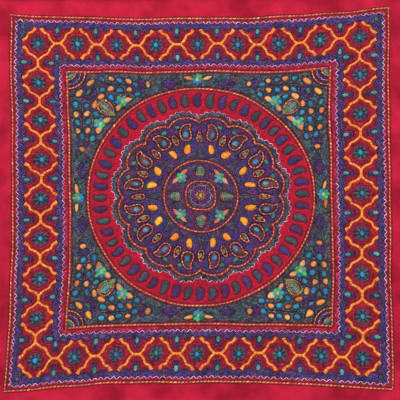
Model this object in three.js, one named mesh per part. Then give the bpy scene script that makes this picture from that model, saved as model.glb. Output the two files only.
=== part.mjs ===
// Embroidered tablecloth: one square of red wool cloth with a narrow turned hem, lying flat and worked all
// over with wool yarn. Bands of filling stitches and corded outlines stand proud of the bare cloth, and they
// draw it in, so that its sides bow and its plain margin puckers. The hem and the stitches are part of it.
// Millimetres, +Z up. The origin is on the table, under the middle of the cloth's box.
import * as THREE from "three";

// Driving dimensions
const FIELD_HALF = 282; // from the middle to the outermost corded line, along a side
const MARGIN = 36; // plain cloth outside that line, at the middle of a side
const MARGIN_TAPER = 0.25; // the share of the margin that is lost towards the corners
const HEM_WIDTH = 6; // the cloth is turned under twice along its edge
const HEM_STEP = 1.2; // the slope from the hem down to the single cloth
const CLOTH_THICK = 1.2; // bare cloth
const HEM_THICK = 2.2; // the turned hem
const WORKED_THICK = 2.2; // cloth with filling stitches
const CORDED_THICK = 2.7; // cloth with a corded outline
const CORD_HALF = 2.4; // half the width of a corded outline
const EDGE_SLOPE = 2; // the slope at the edge of a worked area
const EYE_RADIUS = 24.5; // corded circle in the middle of the medallion
const DISC_RADIUS = 56; // corded circle round the medallion's flowers
const LOBES = 16; // scallops round the medallion
const LOBE_CURVE = 0.6; // under 1, so that the scallops are full and meet in sharp notches
const LOBE_RISE = 10; // from a scallop's notch to its crown
const SCALLOP_NOTCH = 114; // radius at the notches of the corded scallops
const FRILL_NOTCH = 125; // radius at the notches of the worked edge outside them
const PAISLEYS = 52; // separate motifs on the bare ring round the medallion
const PAISLEY_LEAN = 0.2; // how far each outer end leans clockwise, as a share of their spacing
const PAISLEY_ENDS = { foot: 141, heel: 146, shoulder: 156, tip: 161 }; // radii along a paisley
const ROUND_CORD = 168; // radius of the corded circle round the ring of paisleys
const FIELD_CORD = 196; // half a side of the corded square round the field
const BORDER_MIDDLE = 240; // half a side, along the middle of the border's worked band
const BORDER_HALF = 33; // half the width of that band
const POINTS_PER_PAISLEY = 4; // points of a ring that runs through them
const RING_POINTS = 96; // points round the other rings, a multiple of LOBES, with one on each corner

// Where the outermost corded line's corners and mid-sides lie once the stitching has drawn the cloth in
const DRAWN_IN = [
  { across: -1, up: 1, x: -289, y: 278 },
  { across: 1, up: 1, x: 279.6, y: 288 },
  { across: 1, up: -1, x: 287, y: -282.6 },
  { across: -1, up: -1, x: -295.8, y: -284.2 },
  { across: 0, up: 1, x: -6.4, y: 272 },
  { across: 1, up: 0, x: 284.4, y: 12 },
  { across: 0, up: -1, x: -6.3, y: -272.4 },
  { across: -1, up: 0, x: -281.5, y: 0.3 },
];

// Places where the handwork has strayed from the true design, how far it lies off there, and how far that spreads
const PULLED = [
  { across: -100, up: -100, x: 2.5, y: 2.7, reach: 100 },
  { across: 150, up: 150, x: -3.3, y: -4.3, reach: 100 },
  { across: 150, up: 250, x: 3.6, y: -1, reach: 100 },
  { across: 100, up: 0, x: 2.2, y: -1.4, reach: 100 },
  { across: 250, up: -200, x: 0.6, y: -1.9, reach: 100 },
  { across: 250, up: 150, x: 0.4, y: 2.7, reach: 100 },
  { across: -50, up: 150, x: -1.1, y: 1, reach: 100 },
  { across: -250, up: -100, x: 1.6, y: -0.2, reach: 100 },
  { across: -282, up: 282, x: 6.4, y: 0, reach: 50 },
  { across: 282, up: 282, x: 2.8, y: 0.3, reach: 60 },
  { across: 282, up: -282, x: 1.5, y: -1.3, reach: 60 },
  { across: -282, up: -282, x: 1.8, y: -4.2, reach: 70 },
];

// Soft ridges across the margin: their place along a side, half width and rise at the edge
const PUCKERS = [
  { side: "top", along: -225, half: 22, rise: 2.2 },
  { side: "top", along: -122, half: 16, rise: 3.6 },
  { side: "top", along: -30, half: 26, rise: 2.5 },
  { side: "top", along: 95, half: 20, rise: 3.1 },
  { side: "top", along: 205, half: 24, rise: 2.1 },
  { side: "right", along: 170, half: 24, rise: 2.5 },
  { side: "right", along: 30, half: 18, rise: 3.4 },
  { side: "right", along: -110, half: 28, rise: 2.2 },
  { side: "bottom", along: -205, half: 22, rise: 2.5 },
  { side: "bottom", along: -138, half: 18, rise: 3.1 },
  { side: "bottom", along: -5, half: 17, rise: 3.9 },
  { side: "bottom", along: 120, half: 22, rise: 2.8 },
  { side: "bottom", along: 222, half: 26, rise: 2.1 },
  { side: "left", along: 190, half: 24, rise: 2.2 },
  { side: "left", along: 48, half: 20, rise: 3.4 },
  { side: "left", along: -62, half: 18, rise: 3.1 },
  { side: "left", along: -190, half: 28, rise: 2.2 },
];

const clamp = (value, limit) => Math.max(-limit, Math.min(limit, value));

// The finished cloth's place for a point of the design. Inside the outermost line the eight places of
// DRAWN_IN are blended by quadratic weights, and each pull of PULLED is added as a bell curve. Outside it the
// margin goes straight on, narrower at the corners.
function drawnIn(u, v) {
  const insideU = clamp(u, FIELD_HALF);
  const insideV = clamp(v, FIELD_HALF);
  const s = insideU / FIELD_HALF;
  const t = insideV / FIELD_HALF;
  let x = (u - insideU) * (1 - MARGIN_TAPER * t * t);
  let y = (v - insideV) * (1 - MARGIN_TAPER * s * s);
  for (const node of DRAWN_IN) {
    const a = node.across;
    const b = node.up;
    let weight = ((1 + a * s) * (1 + b * t) * (a * s + b * t - 1)) / 4;
    if (a === 0) weight = ((1 - s * s) * (1 + b * t)) / 2;
    if (b === 0) weight = ((1 + a * s) * (1 - t * t)) / 2;
    x += weight * node.x;
    y += weight * node.y;
  }
  for (const pull of PULLED) {
    const apart = Math.hypot(insideU - pull.across, insideV - pull.up) / pull.reach;
    x += pull.x * Math.exp(-apart * apart);
    y += pull.y * Math.exp(-apart * apart);
  }
  return { x, y };
}

// How high the puckers lift the margin off the table: nothing at the outermost line, all at the edge.
function pucker(u, v) {
  const outside = { top: v, bottom: -v, right: u, left: -u };
  let lift = 0;
  for (const { side, along, half, rise } of PUCKERS) {
    const ramp = Math.max(0, outside[side] - FIELD_HALF) / MARGIN;
    const place = side === "top" || side === "bottom" ? u : v;
    lift += rise * ramp * ramp * Math.exp(-(((place - along) / half) ** 2));
  }
  return lift;
}

// A point of a square or round ring, from 0 to 1 of the way round, counter-clockwise from the +X axis.
function onSquare(share, half) {
  const turned = (share * 4 + 0.5) % 4;
  const side = Math.floor(turned);
  const along = (2 * (turned - side) - 1) * half;
  const corners = [
    [half, along],
    [-along, half],
    [-half, -along],
    [along, -half],
  ];
  return corners[side];
}

function onCircle(share, radius) {
  const angle = share * 2 * Math.PI;
  return [radius * Math.cos(angle), radius * Math.sin(angle)];
}

const scallop = (share) =>
  LOBE_RISE * Math.abs(Math.sin(share * LOBES * Math.PI)) ** LOBE_CURVE;

// Rings from the middle outwards. reach is a radius or half a side, and thick is from the cloth's underside.
const round = (reach, thick) => ({ form: "round", reach, thick });
const scalloped = (reach, thick) => ({ form: "scalloped", reach, thick });
const square = (reach, thick) => ({ form: "square", reach, thick });
const paisleys = (reach, shift) => ({ form: "paisleys", reach, shift });

const cord = (form, reach, inside, outside) => [
  form(reach - CORD_HALF, inside),
  form(reach, CORDED_THICK),
  form(reach + CORD_HALF, outside),
];

const EDGE = FIELD_HALF + MARGIN;
const RINGS = [
  ...cord(round, EYE_RADIUS, WORKED_THICK, WORKED_THICK),
  ...cord(round, DISC_RADIUS, WORKED_THICK, WORKED_THICK),
  ...cord(scalloped, SCALLOP_NOTCH, WORKED_THICK, WORKED_THICK),
  scalloped(FRILL_NOTCH, WORKED_THICK),
  scalloped(FRILL_NOTCH + EDGE_SLOPE, CLOTH_THICK),
  round(PAISLEY_ENDS.foot, CLOTH_THICK),
  paisleys(PAISLEY_ENDS.heel, -PAISLEY_LEAN / 2),
  paisleys(PAISLEY_ENDS.shoulder, PAISLEY_LEAN),
  round(PAISLEY_ENDS.tip, CLOTH_THICK),
  ...cord(round, ROUND_CORD, CLOTH_THICK, WORKED_THICK),
  ...cord(square, FIELD_CORD, WORKED_THICK, CLOTH_THICK),
  square(BORDER_MIDDLE - BORDER_HALF, CLOTH_THICK),
  square(BORDER_MIDDLE - BORDER_HALF + EDGE_SLOPE, WORKED_THICK),
  square(BORDER_MIDDLE, WORKED_THICK),
  square(BORDER_MIDDLE + BORDER_HALF - EDGE_SLOPE, WORKED_THICK),
  square(BORDER_MIDDLE + BORDER_HALF, CLOTH_THICK),
  ...cord(square, FIELD_HALF, CLOTH_THICK, CLOTH_THICK),
  square(FIELD_HALF + MARGIN / 2, CLOTH_THICK),
  square(EDGE - HEM_WIDTH - HEM_STEP, CLOTH_THICK),
  square(EDGE - HEM_WIDTH, HEM_THICK),
  square(EDGE, HEM_THICK),
];

// One ring of points of the top face.
function topRing({ form, reach, thick, shift = 0 }) {
  const count = form === "paisleys" ? PAISLEYS * POINTS_PER_PAISLEY : RING_POINTS;
  return Array.from({ length: count }, (_, i) => {
    const share = i / count;
    // Of each paisley's points the middle two are raised, and the first paisley stands on the +X axis.
    const worked = i % POINTS_PER_PAISLEY === 1 || i % POINTS_PER_PAISLEY === 2;
    let height = thick;
    let [u, v] = onCircle(share, reach);
    if (form === "square") [u, v] = onSquare(share, reach);
    if (form === "scalloped") [u, v] = onCircle(share, reach + scallop(share));
    if (form === "paisleys") {
      [u, v] = onCircle(share - (1.5 / POINTS_PER_PAISLEY + shift) / PAISLEYS, reach);
      height = worked ? WORKED_THICK : CLOTH_THICK;
    }
    const { x, y } = drawnIn(u, v);
    return [x, y, pucker(u, v) + height];
  });
}

// One ring of points of the underside, which lies on the table inside the outermost line.
function underRing(reach) {
  return Array.from({ length: RING_POINTS }, (_, i) => {
    const [u, v] = onSquare(i / RING_POINTS, reach);
    const { x, y } = drawnIn(u, v);
    return [x, y, pucker(u, v)];
  });
}

// A closed mesh from the rings: bands between neighbouring rings, joined by their share of the way round,
// a fan over the middle of each face, and a wall between the two edges.
function sheetGeometry() {
  const points = [];
  const faces = [];
  const add = (ring) => ring.map((point) => points.push(point) - 1);
  const band = (inner, outer) => {
    let i = 0;
    let j = 0;
    while (i < inner.length || j < outer.length) {
      const a = inner[i % inner.length];
      const b = outer[j % outer.length];
      if (i < inner.length && (i + 1) / inner.length <= (j + 1) / outer.length) {
        faces.push([a, b, inner[(i + 1) % inner.length]]);
        i += 1;
      } else {
        faces.push([a, b, outer[(j + 1) % outer.length]]);
        j += 1;
      }
    }
  };
  const middle = drawnIn(0, 0);
  const top = RINGS.map((row) => add(topRing(row)));
  const [topMiddle] = add([[middle.x, middle.y, WORKED_THICK]]);
  band([topMiddle], top[0]);
  for (let k = 1; k < top.length; k += 1) band(top[k - 1], top[k]);

  const underSteps = [1, 2 / 3, 1 / 3, 0];
  const under = underSteps.map((step) => add(underRing(FIELD_HALF + step * MARGIN)));
  const [underMiddle] = add([[middle.x, middle.y, 0]]);
  band(top[top.length - 1], under[0]);
  for (let k = 1; k < under.length; k += 1) band(under[k - 1], under[k]);
  band(under[under.length - 1], [underMiddle]);

  const solid = faces.filter(([a, b, c]) => a !== b && b !== c && c !== a);
  const geometry = new THREE.BufferGeometry();
  geometry.setAttribute("position", new THREE.Float32BufferAttribute(points.flat(), 3));
  geometry.setIndex(solid.flat());
  geometry.computeVertexNormals();
  return geometry;
}

const redWool = new THREE.MeshStandardMaterial({ color: 0xb4243c, roughness: 0.95, metalness: 0 });
const cloth = new THREE.Mesh(sheetGeometry(), redWool);
cloth.name = "cloth";

const tablecloth = new THREE.Group();
tablecloth.add(cloth);

export default tablecloth;
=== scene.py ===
import bpy
import numpy as np
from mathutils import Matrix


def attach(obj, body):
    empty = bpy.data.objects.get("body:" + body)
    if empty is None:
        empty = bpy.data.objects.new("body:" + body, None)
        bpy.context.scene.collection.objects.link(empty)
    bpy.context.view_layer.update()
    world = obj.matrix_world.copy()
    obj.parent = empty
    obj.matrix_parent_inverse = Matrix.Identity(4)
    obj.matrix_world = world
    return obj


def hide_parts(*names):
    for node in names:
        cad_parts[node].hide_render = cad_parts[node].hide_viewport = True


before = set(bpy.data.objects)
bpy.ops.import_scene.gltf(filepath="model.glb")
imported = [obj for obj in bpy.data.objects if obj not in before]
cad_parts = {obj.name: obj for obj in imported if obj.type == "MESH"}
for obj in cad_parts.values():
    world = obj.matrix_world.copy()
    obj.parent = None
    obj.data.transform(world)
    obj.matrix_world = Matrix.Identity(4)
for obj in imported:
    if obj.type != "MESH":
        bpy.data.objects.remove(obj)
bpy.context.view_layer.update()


# Ground cloth: one square of felted red wool twill, turned under twice in a narrow hem and lying flat. The
# embroidery has drawn it in, so its sides bow, its corners are pulled out and its bare margin puckers.
# Every size here and below is in millimetres on the square design, as drawn before it was worked.
MM = 0.001
FIELD_HALF = 282.0
MARGIN = 36.0
MARGIN_TAPER = 0.25
EDGE = FIELD_HALF + MARGIN
CLOTH_THICK = 1.2
HEM_THICK = 2.2
HEM_WIDTH = 6.0
HEM_STEP = 1.2
HEM_LINES = (0, 0.12, 0.45, 1.1, 3, 5.5)  # the grid's lines across the hem, from the edge
MARGIN_LINES = (14, 19, 24)  # the same across the bare margin
FIELD_LINES = 95  # how many lines lie inside the outermost corded line
DRAWN_IN = (  # across, up, x, y: the outermost line's corners and mid-sides on the finished cloth
    (-1, 1, -289.0, 278.0),
    (1, 1, 279.6, 288.0),
    (1, -1, 287.0, -282.6),
    (-1, -1, -295.8, -284.2),
    (0, 1, -6.4, 272.0),
    (1, 0, 284.4, 12.0),
    (0, -1, -6.3, -272.4),
    (-1, 0, -281.5, 0.3),
)
PULLED = (  # place, how far the handwork has strayed from the true design there, and how far that spreads
    (-100, -100, 2.5, 2.7, 100),
    (150, 150, -3.3, -4.3, 100),
    (150, 250, 3.6, -1.0, 100),
    (100, 0, 2.2, -1.4, 100),
    (250, -200, 0.6, -1.9, 100),
    (250, 150, 0.4, 2.7, 100),
    (-50, 150, -1.1, 1.0, 100),
    (-250, -100, 1.6, -0.2, 100),
    (-282, 282, 6.4, 0.0, 50),
    (282, 282, 2.8, 0.3, 60),
    (282, -282, 1.5, -1.3, 60),
    (-282, -282, 1.8, -4.2, 70),
)
PUCKERS = (  # side, place along it, half width and rise at the edge of a soft ridge across the margin
    ("top", -225, 22, 2.2),
    ("top", -122, 16, 3.6),
    ("top", -30, 26, 2.5),
    ("top", 95, 20, 3.1),
    ("top", 205, 24, 2.1),
    ("right", 170, 24, 2.5),
    ("right", 30, 18, 3.4),
    ("right", -110, 28, 2.2),
    ("bottom", -205, 22, 2.5),
    ("bottom", -138, 18, 3.1),
    ("bottom", -5, 17, 3.9),
    ("bottom", 120, 22, 2.8),
    ("bottom", 222, 26, 2.1),
    ("left", 190, 24, 2.2),
    ("left", 48, 20, 3.4),
    ("left", -62, 18, 3.1),
    ("left", -190, 28, 2.2),
)
HAND_WAVES = 7
HAND_WAVE_HEIGHT = 0.3
HAND_WAVE_LENGTHS = (60, 170)
TWILL_REDS = ((0.36, 152, 14, 40), (0.64, 196, 28, 60))  # place in the mottle, then the colour
rng = np.random.default_rng(seed=16)
hand_turn = rng.uniform(0, 2 * np.pi, HAND_WAVES)
hand_pace = 2 * np.pi / rng.uniform(*HAND_WAVE_LENGTHS, HAND_WAVES)
hand_phase = rng.uniform(0, 2 * np.pi, (HAND_WAVES, 2))


def drawn_in(u, v):
    """Place on the finished cloth of points of the design. Inside the outermost line the eight places of
    DRAWN_IN are blended by quadratic weights, and outside it the margin goes straight on, narrower at the
    corners. Each pull of PULLED is added as a bell curve, and a few long low waves make every line as uneven
    as handwork."""
    inside_u = np.clip(u, -FIELD_HALF, FIELD_HALF)
    inside_v = np.clip(v, -FIELD_HALF, FIELD_HALF)
    s = inside_u / FIELD_HALF
    t = inside_v / FIELD_HALF
    x = (u - inside_u) * (1 - MARGIN_TAPER * t * t)
    y = (v - inside_v) * (1 - MARGIN_TAPER * s * s)
    for a, b, node_x, node_y in DRAWN_IN:
        if a == 0:
            weight = (1 - s * s) * (1 + b * t) / 2
        elif b == 0:
            weight = (1 + a * s) * (1 - t * t) / 2
        else:
            weight = (1 + a * s) * (1 + b * t) * (a * s + b * t - 1) / 4
        x = x + weight * node_x
        y = y + weight * node_y
    for across, up, pull_x, pull_y, spread in PULLED:
        fade = np.exp(-((inside_u - across) ** 2 + (inside_v - up) ** 2) / spread**2)
        x = x + pull_x * fade
        y = y + pull_y * fade
    for turn, pace, phase in zip(hand_turn, hand_pace, hand_phase):
        run = pace * (inside_u * np.cos(turn) + inside_v * np.sin(turn))
        x = x + HAND_WAVE_HEIGHT * np.sin(run + phase[0])
        y = y + HAND_WAVE_HEIGHT * np.sin(run + phase[1])
    return x, y


def pucker(u, v):
    """Lift of the margin off the table: for each ridge a bell curve along its side, which grows from nothing
    at the outermost line with the square of the distance from it."""
    outside = {"top": v, "bottom": -v, "right": u, "left": -u}
    lift = np.zeros_like(u)
    for side, along, half, rise in PUCKERS:
        ramp = np.maximum(0, outside[side] - FIELD_HALF) / MARGIN
        place = u if side in ("top", "bottom") else v
        lift = lift + rise * ramp**2 * np.exp(-(((place - along) / half) ** 2))
    return lift


def on_cloth(u, v, height):
    """Points in metres for places of the design, at a height above the cloth's underside."""
    x, y = drawn_in(u, v)
    return np.stack([x, y, pucker(u, v) + height], axis=-1) * MM


def mesh_piece(name, points, faces):
    """A smooth-shaded object from an array of points in metres and one of faces with equal corner counts."""
    mesh = bpy.data.meshes.new(name)
    mesh.vertices.add(len(points))
    mesh.vertices.foreach_set("co", points.astype(np.float32).ravel())
    mesh.loops.add(faces.size)
    mesh.loops.foreach_set("vertex_index", faces.astype(np.int32).ravel())
    mesh.polygons.add(len(faces))
    mesh.polygons.foreach_set("loop_start", np.arange(0, faces.size, faces.shape[1], dtype=np.int32))
    mesh.polygons.foreach_set("use_smooth", np.ones(len(faces), dtype=bool))
    mesh.update(calc_edges=True)
    piece = bpy.data.objects.new(name, mesh)
    bpy.context.collection.objects.link(piece)
    return piece


def sheet_mesh(name):
    """The closed sheet on a square grid with finer lines in the hem. Half the thickness follows a quarter
    circle at the edge, so the upper and lower grids meet there in a round fold and share the points of their
    rim."""
    hem_end = HEM_WIDTH + HEM_STEP
    rim = np.array([*HEM_LINES, HEM_WIDTH, HEM_WIDTH + HEM_STEP / 2, hem_end, *MARGIN_LINES])
    inner = np.linspace(-FIELD_HALF, FIELD_HALF, FIELD_LINES)
    lines = np.concatenate([rim - EDGE, inner, EDGE - rim[::-1]])
    u, v = np.meshgrid(lines, lines, indexing="ij")
    from_edge = EDGE - np.maximum(np.abs(u), np.abs(v))
    thick = np.interp(from_edge, [HEM_WIDTH, hem_end], [HEM_THICK, CLOTH_THICK])
    fold = np.sqrt(1 - (1 - np.clip(2 * from_edge / HEM_THICK, 0, 1)) ** 2)
    upper = on_cloth(u, v, thick * (1 + fold) / 2)
    lower = on_cloth(u, v, thick * (1 - fold) / 2)
    inside = from_edge > 0
    upper_index = np.arange(u.size).reshape(u.shape)
    lower_index = upper_index.copy()
    lower_index[inside] = u.size + np.arange(inside.sum())
    faces = []
    for index, corners in ((upper_index, (0, 1, 2, 3)), (lower_index, (3, 2, 1, 0))):
        ring = (index[:-1, :-1], index[1:, :-1], index[1:, 1:], index[:-1, 1:])
        faces.append(np.stack([ring[c].ravel() for c in corners], axis=1))
    return mesh_piece(name, np.concatenate([upper.reshape(-1, 3), lower[inside]]), np.concatenate(faces))


def linear(colours):
    """Linear values of screen colours from 0 to 255: straight near black, and a power curve above that."""
    share = np.asarray(colours, dtype=float) / 255
    return np.where(share <= 0.04045, share / 12.92, ((share + 0.055) / 1.055) ** 2.4)


def shade(name, roughness, sheen):
    """A new material, its node tree and its shader, with the constants of a dull finish set on it."""
    material = bpy.data.materials.new(name)
    material.use_nodes = True
    shader = material.node_tree.nodes["Principled BSDF"]
    shader.inputs["Roughness"].default_value = roughness
    shader.inputs["Specular IOR Level"].default_value = 0.08
    shader.inputs["Sheen Weight"].default_value = sheen
    shader.inputs["Sheen Roughness"].default_value = 0.6
    return material, material.node_tree, shader


def add_node(tree, kind, **inputs):
    """A new node of a kind. Each input that is given is linked, if it is a socket, or set to a constant."""
    node = tree.nodes.new("ShaderNode" + kind)
    for name, value in inputs.items():
        socket = node.inputs[name.replace("_", " ").title()]
        if isinstance(value, bpy.types.NodeSocket):
            tree.links.new(value, socket)
        else:
            socket.default_value = value
    return node


def add_bump(tree, shader, coarse, fine, strength, distance):
    """Relief on a shader: the sum of a coarse and a fine pattern."""
    relief = add_node(tree, "Math")
    relief.operation = "ADD"
    tree.links.new(coarse.outputs["Fac"], relief.inputs[0])
    tree.links.new(fine.outputs["Fac"], relief.inputs[1])
    bump = add_node(tree, "Bump", strength=strength, distance=distance, height=relief.outputs["Value"])
    tree.links.new(bump.outputs["Normal"], shader.inputs["Normal"])


def red_twill():
    """Felted twill: fine diagonal ribs and loose fibres in the bump, and a soft mottle of two reds."""
    material, tree, shader = shade("red_twill", roughness=0.92, sheen=0.04)
    place = add_node(tree, "TexCoord").outputs["Object"]
    ribs = add_node(tree, "TexWave", vector=place, scale=130, distortion=1.5, detail=2, detail_scale=2)
    ribs.bands_direction = "DIAGONAL"
    fibres = add_node(tree, "TexNoise", vector=place, scale=480, detail=4)
    mottle = add_node(tree, "TexNoise", vector=place, scale=22, detail=5)
    reds = add_node(tree, "ValToRGB", fac=mottle.outputs["Fac"])
    for stop, (position, *colour) in zip(reds.color_ramp.elements, TWILL_REDS):
        stop.position = position
        stop.color = (*linear(colour), 1)
    grain = add_node(tree, "Mix")
    grain.data_type = "RGBA"
    grain.blend_type = "MULTIPLY"
    grain.inputs["Factor"].default_value = 0.42
    tree.links.new(reds.outputs["Color"], grain.inputs["A"])
    tree.links.new(fibres.outputs["Fac"], grain.inputs["B"])
    tree.links.new(grain.outputs["Result"], shader.inputs["Base Color"])
    add_bump(tree, shader, ribs, fibres, strength=0.5, distance=0.0004)
    return material


ground_cloth = sheet_mesh("ground_cloth")
ground_cloth.data.materials.append(red_twill())
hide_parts("cloth")
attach(ground_cloth, "root")


# Corded lines: thick wool laid round the frames of the design in short slanted stitches, like a row of
# beads, with a dark line along each side. They are worked first, and all other stitches are fitted between
# them. Each palette gives a share of the stitches and a colour in each row.
OUTER_CORD = 282.0
FIELD_CORD = 196.3
ROUND_CORD = 169.4
ROUND_POINTS = 721
BEAD = {"pitch": 5.65, "length": 4.9, "slant": 0.5, "width": 2.9, "crown": 1.55}
EDGING = {"offset": 2.6, "length": 5.0, "width": 2.1, "crown": 0.8, "closeness": 1.15}
CORD_ORANGE = ((0.45, 224, 126, 88), (0.27, 212, 104, 72), (0.16, 230, 148, 98), (0.12, 214, 142, 120))
INNER_ORANGE = ((0.45, 208, 124, 94), (0.27, 196, 104, 78), (0.16, 216, 146, 104), (0.12, 202, 140, 122))
CORD_EDGING = ((0.6, 112, 26, 30), (0.4, 88, 26, 34))
CORD_CORE = ((0.6, 166, 74, 54), (0.4, 140, 56, 46))
# The fields edge and fade hold painted shade: how dark a stitch's sides are painted, and how far painted
# shade darkens it towards its ends.
STITCH = np.dtype(
    [
        ("start", float, 2),
        ("end", float, 2),
        ("width", float),
        ("crown", float),
        ("edge", float),
        ("fade", float),
        ("colour", float, 3),
    ]
)
# Painted shade: a stitch keeps this share of its colour along its sides, and less at its ends.
YARN_EDGE_SHADE = 0.66
YARN_END_SHADE_POWER = 1.5  # the yarn's ends are darker than its edges by this power
YARN_UNEVEN = {"width": (0.92, 1.08), "crown": (0.9, 1.1)}
SHORTEST_RUN = 0.01
LONG_SECTIONS = np.array(  # place along a stitch, and the shares of its width and of its height there
    [(0.11, 0.9, 0.86), (0.5, 1.0, 1.0), (0.89, 0.9, 0.86)]
)
SHORT_SECTIONS = np.array([(0.2, 1.0, 1.0), (0.8, 1.0, 1.0)])
SIDE_SINK = 0.1
BAKE_REACH = 1.1  # half the side of the flat map, as a share of half the cloth
DYE_DEPTH = 0.11
DYE_HUE = 0.03
DARKEST_DYE = 3
WAVE_PERIOD = 2 * np.pi / 20  # of the wave pattern at a scale of 1
COVER_CELL = 0.4
COVER_ALONG = (0.05, 0.95)
COVER_LINES = 9
cover_count = int(2 * EDGE / COVER_CELL) + 1
covered = np.zeros((cover_count, cover_count), dtype=bool)


def picked(palette, draw):
    """Colours of a palette for draws from 0 to 1, each as often as its share says."""
    palette = np.array(palette)
    pick = np.searchsorted(np.cumsum(palette[:, 0]), draw * palette[:, 0].sum())
    return palette[np.minimum(pick, len(palette) - 1), 1:]


def varied(colours, depth):
    """Colours with the small differences in depth and hue of plant-dyed wool."""
    tone = rng.normal(1, depth, (len(colours), 1))
    hue = rng.normal(1, DYE_HUE, (len(colours), 3))
    return np.clip(colours * tone * hue, DARKEST_DYE, 255)


def dyed(palette, count, depth=DYE_DEPTH):
    """Colours of single stitches, drawn from a palette by its shares and varied a little."""
    return varied(picked(palette, rng.random(count)), depth)


def stitches(start, end, sizes, colour):
    """A table of stitches: both ends on the design, the yarn's width, its height above the cloth, how dark
    its sides are painted as shade, how far painted shade darkens it towards its ends, and its colour."""
    table = np.zeros(len(start), STITCH)
    table["start"] = start
    table["end"] = end
    for size, spread in YARN_UNEVEN.items():
        table[size] = sizes[size] * rng.uniform(*spread, len(start))
    # Painted shade on the yarn's sides and towards its ends.
    table["edge"] = sizes.get("edge", YARN_EDGE_SHADE)
    table["fade"] = sizes.get("fade", 0)
    table["colour"] = colour
    return table


def left_of(ahead):
    """Directions a quarter turn to the left."""
    return np.stack([-ahead[:, 1], ahead[:, 0]], axis=1)


def yarn_axes(table):
    """Each stitch's run from its start to its end, its length, and the unit direction across its yarn."""
    ahead = table["end"] - table["start"]
    length = np.linalg.norm(ahead, axis=1)
    return ahead, length, left_of(ahead) / np.maximum(length, SHORTEST_RUN)[:, None]


def cover_index(u, v):
    """Row and column of the map of worked cloth for places of the design."""
    row = np.clip(((u + EDGE) / COVER_CELL).astype(int), 0, cover_count - 1)
    column = np.clip(((v + EDGE) / COVER_CELL).astype(int), 0, cover_count - 1)
    return row, column


def cover(table):
    """Marks the cloth under a table of stitches as worked: points along each stitch and across its yarn."""
    ahead, length, aside = yarn_axes(table)
    along = np.linspace(*COVER_ALONG, int(length.max() / COVER_CELL) + 3)
    for across in np.linspace(-0.5, 0.5, COVER_LINES):
        edge = table["start"] + aside * (across * table["width"])[:, None]
        place = edge[:, None, :] + along[None, :, None] * ahead[:, None, :]
        covered[cover_index(place[..., 0], place[..., 1])] = True


def stitch_mesh(name, table, sections):
    """All stitches of a table as one mesh. Each is a closed drop of yarn: two pointed ends that sink into the
    cloth and two or three sections between them, each a low arch of a left, a top and a right point. Its
    colour on the points carries painted shade, darker on the sides and towards the pointed ends."""
    ahead, length, aside = yarn_axes(table)
    place, wide, high = sections.T
    middle = table["start"][:, None, :] + place[None, :, None] * ahead[:, None, :]
    half = table["width"][:, None] * wide / 2
    # Painted shade that darkens a stitch towards its ends.
    end_shade = 1 - table["fade"][:, None] * (2 * place - 1) ** 2
    count = len(table)
    last = 3 * len(sections) + 1
    plan = np.zeros((count, last + 1, 2))
    height = np.full((count, last + 1), CLOTH_THICK - SIDE_SINK)
    # depth: painted shade, the share of its colour that each point keeps.
    depth = np.zeros((count, last + 1))
    plan[:, 0] = table["start"]
    plan[:, last] = table["end"]
    depth[:, [0, last]] = (table["edge"] ** YARN_END_SHADE_POWER * (1 - table["fade"]))[:, None]
    for side, first in ((1, 1), (0, 2), (-1, 3)):
        plan[:, first:last:3] = middle + side * half[..., None] * aside[:, None, :]
        depth[:, first:last:3] = end_shade * (table["edge"][:, None] if side else 1)
    height[:, 2:last:3] = CLOTH_THICK + table["crown"][:, None] * high
    points = on_cloth(plan[..., 0], plan[..., 1], height).reshape(-1, 3)

    far = last - 3
    faces = [(0, 2, 1), (0, 3, 2), (0, 1, 3)]
    faces += [(last, far, far + 1), (last, far + 1, far + 2), (last, far + 2, far)]
    for a in range(1, far, 3):
        b = a + 3
        for p, q, r, s in ((a, a + 1, b + 1, b), (a + 1, a + 2, b + 2, b + 1), (a, b, b + 2, a + 2)):
            faces += [(p, q, r), (p, r, s)]
    faces = (np.array(faces)[None] + (last + 1) * np.arange(count)[:, None, None]).reshape(-1, 3)
    piece = mesh_piece(name, points, faces)

    colour = np.ones((count, last + 1, 4), dtype=np.float32)
    # The yarn's colour with its painted shade, kept on each point.
    colour[..., :3] = linear(table["colour"])[:, None, :] * depth[..., None]
    piece.data.color_attributes.new("yarn_colour_and_shade", "FLOAT_COLOR", "POINT")
    piece.data.color_attributes["yarn_colour_and_shade"].data.foreach_set("color", colour.ravel())
    share = np.concatenate([[0], np.repeat(place, 3), [1]])
    twist = np.zeros((count, last + 1, 2), dtype=np.float32)
    twist[..., 0] = share * length[:, None]
    twist[..., 1] = np.array([0] + [1, 0, -1] * len(sections) + [0]) * table["width"][:, None] / 2
    flat = (points[:, :2] + EDGE * MM * BAKE_REACH) / (2 * BAKE_REACH * EDGE * MM)
    for map_name, values in (("OFBake", flat), ("twist", twist.reshape(-1, 2))):
        piece.data.uv_layers.new(name=map_name)
        corners = values[faces.ravel()].astype(np.float32)
        piece.data.uv_layers[map_name].uv.foreach_set("vector", corners.ravel())
    return piece


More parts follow.
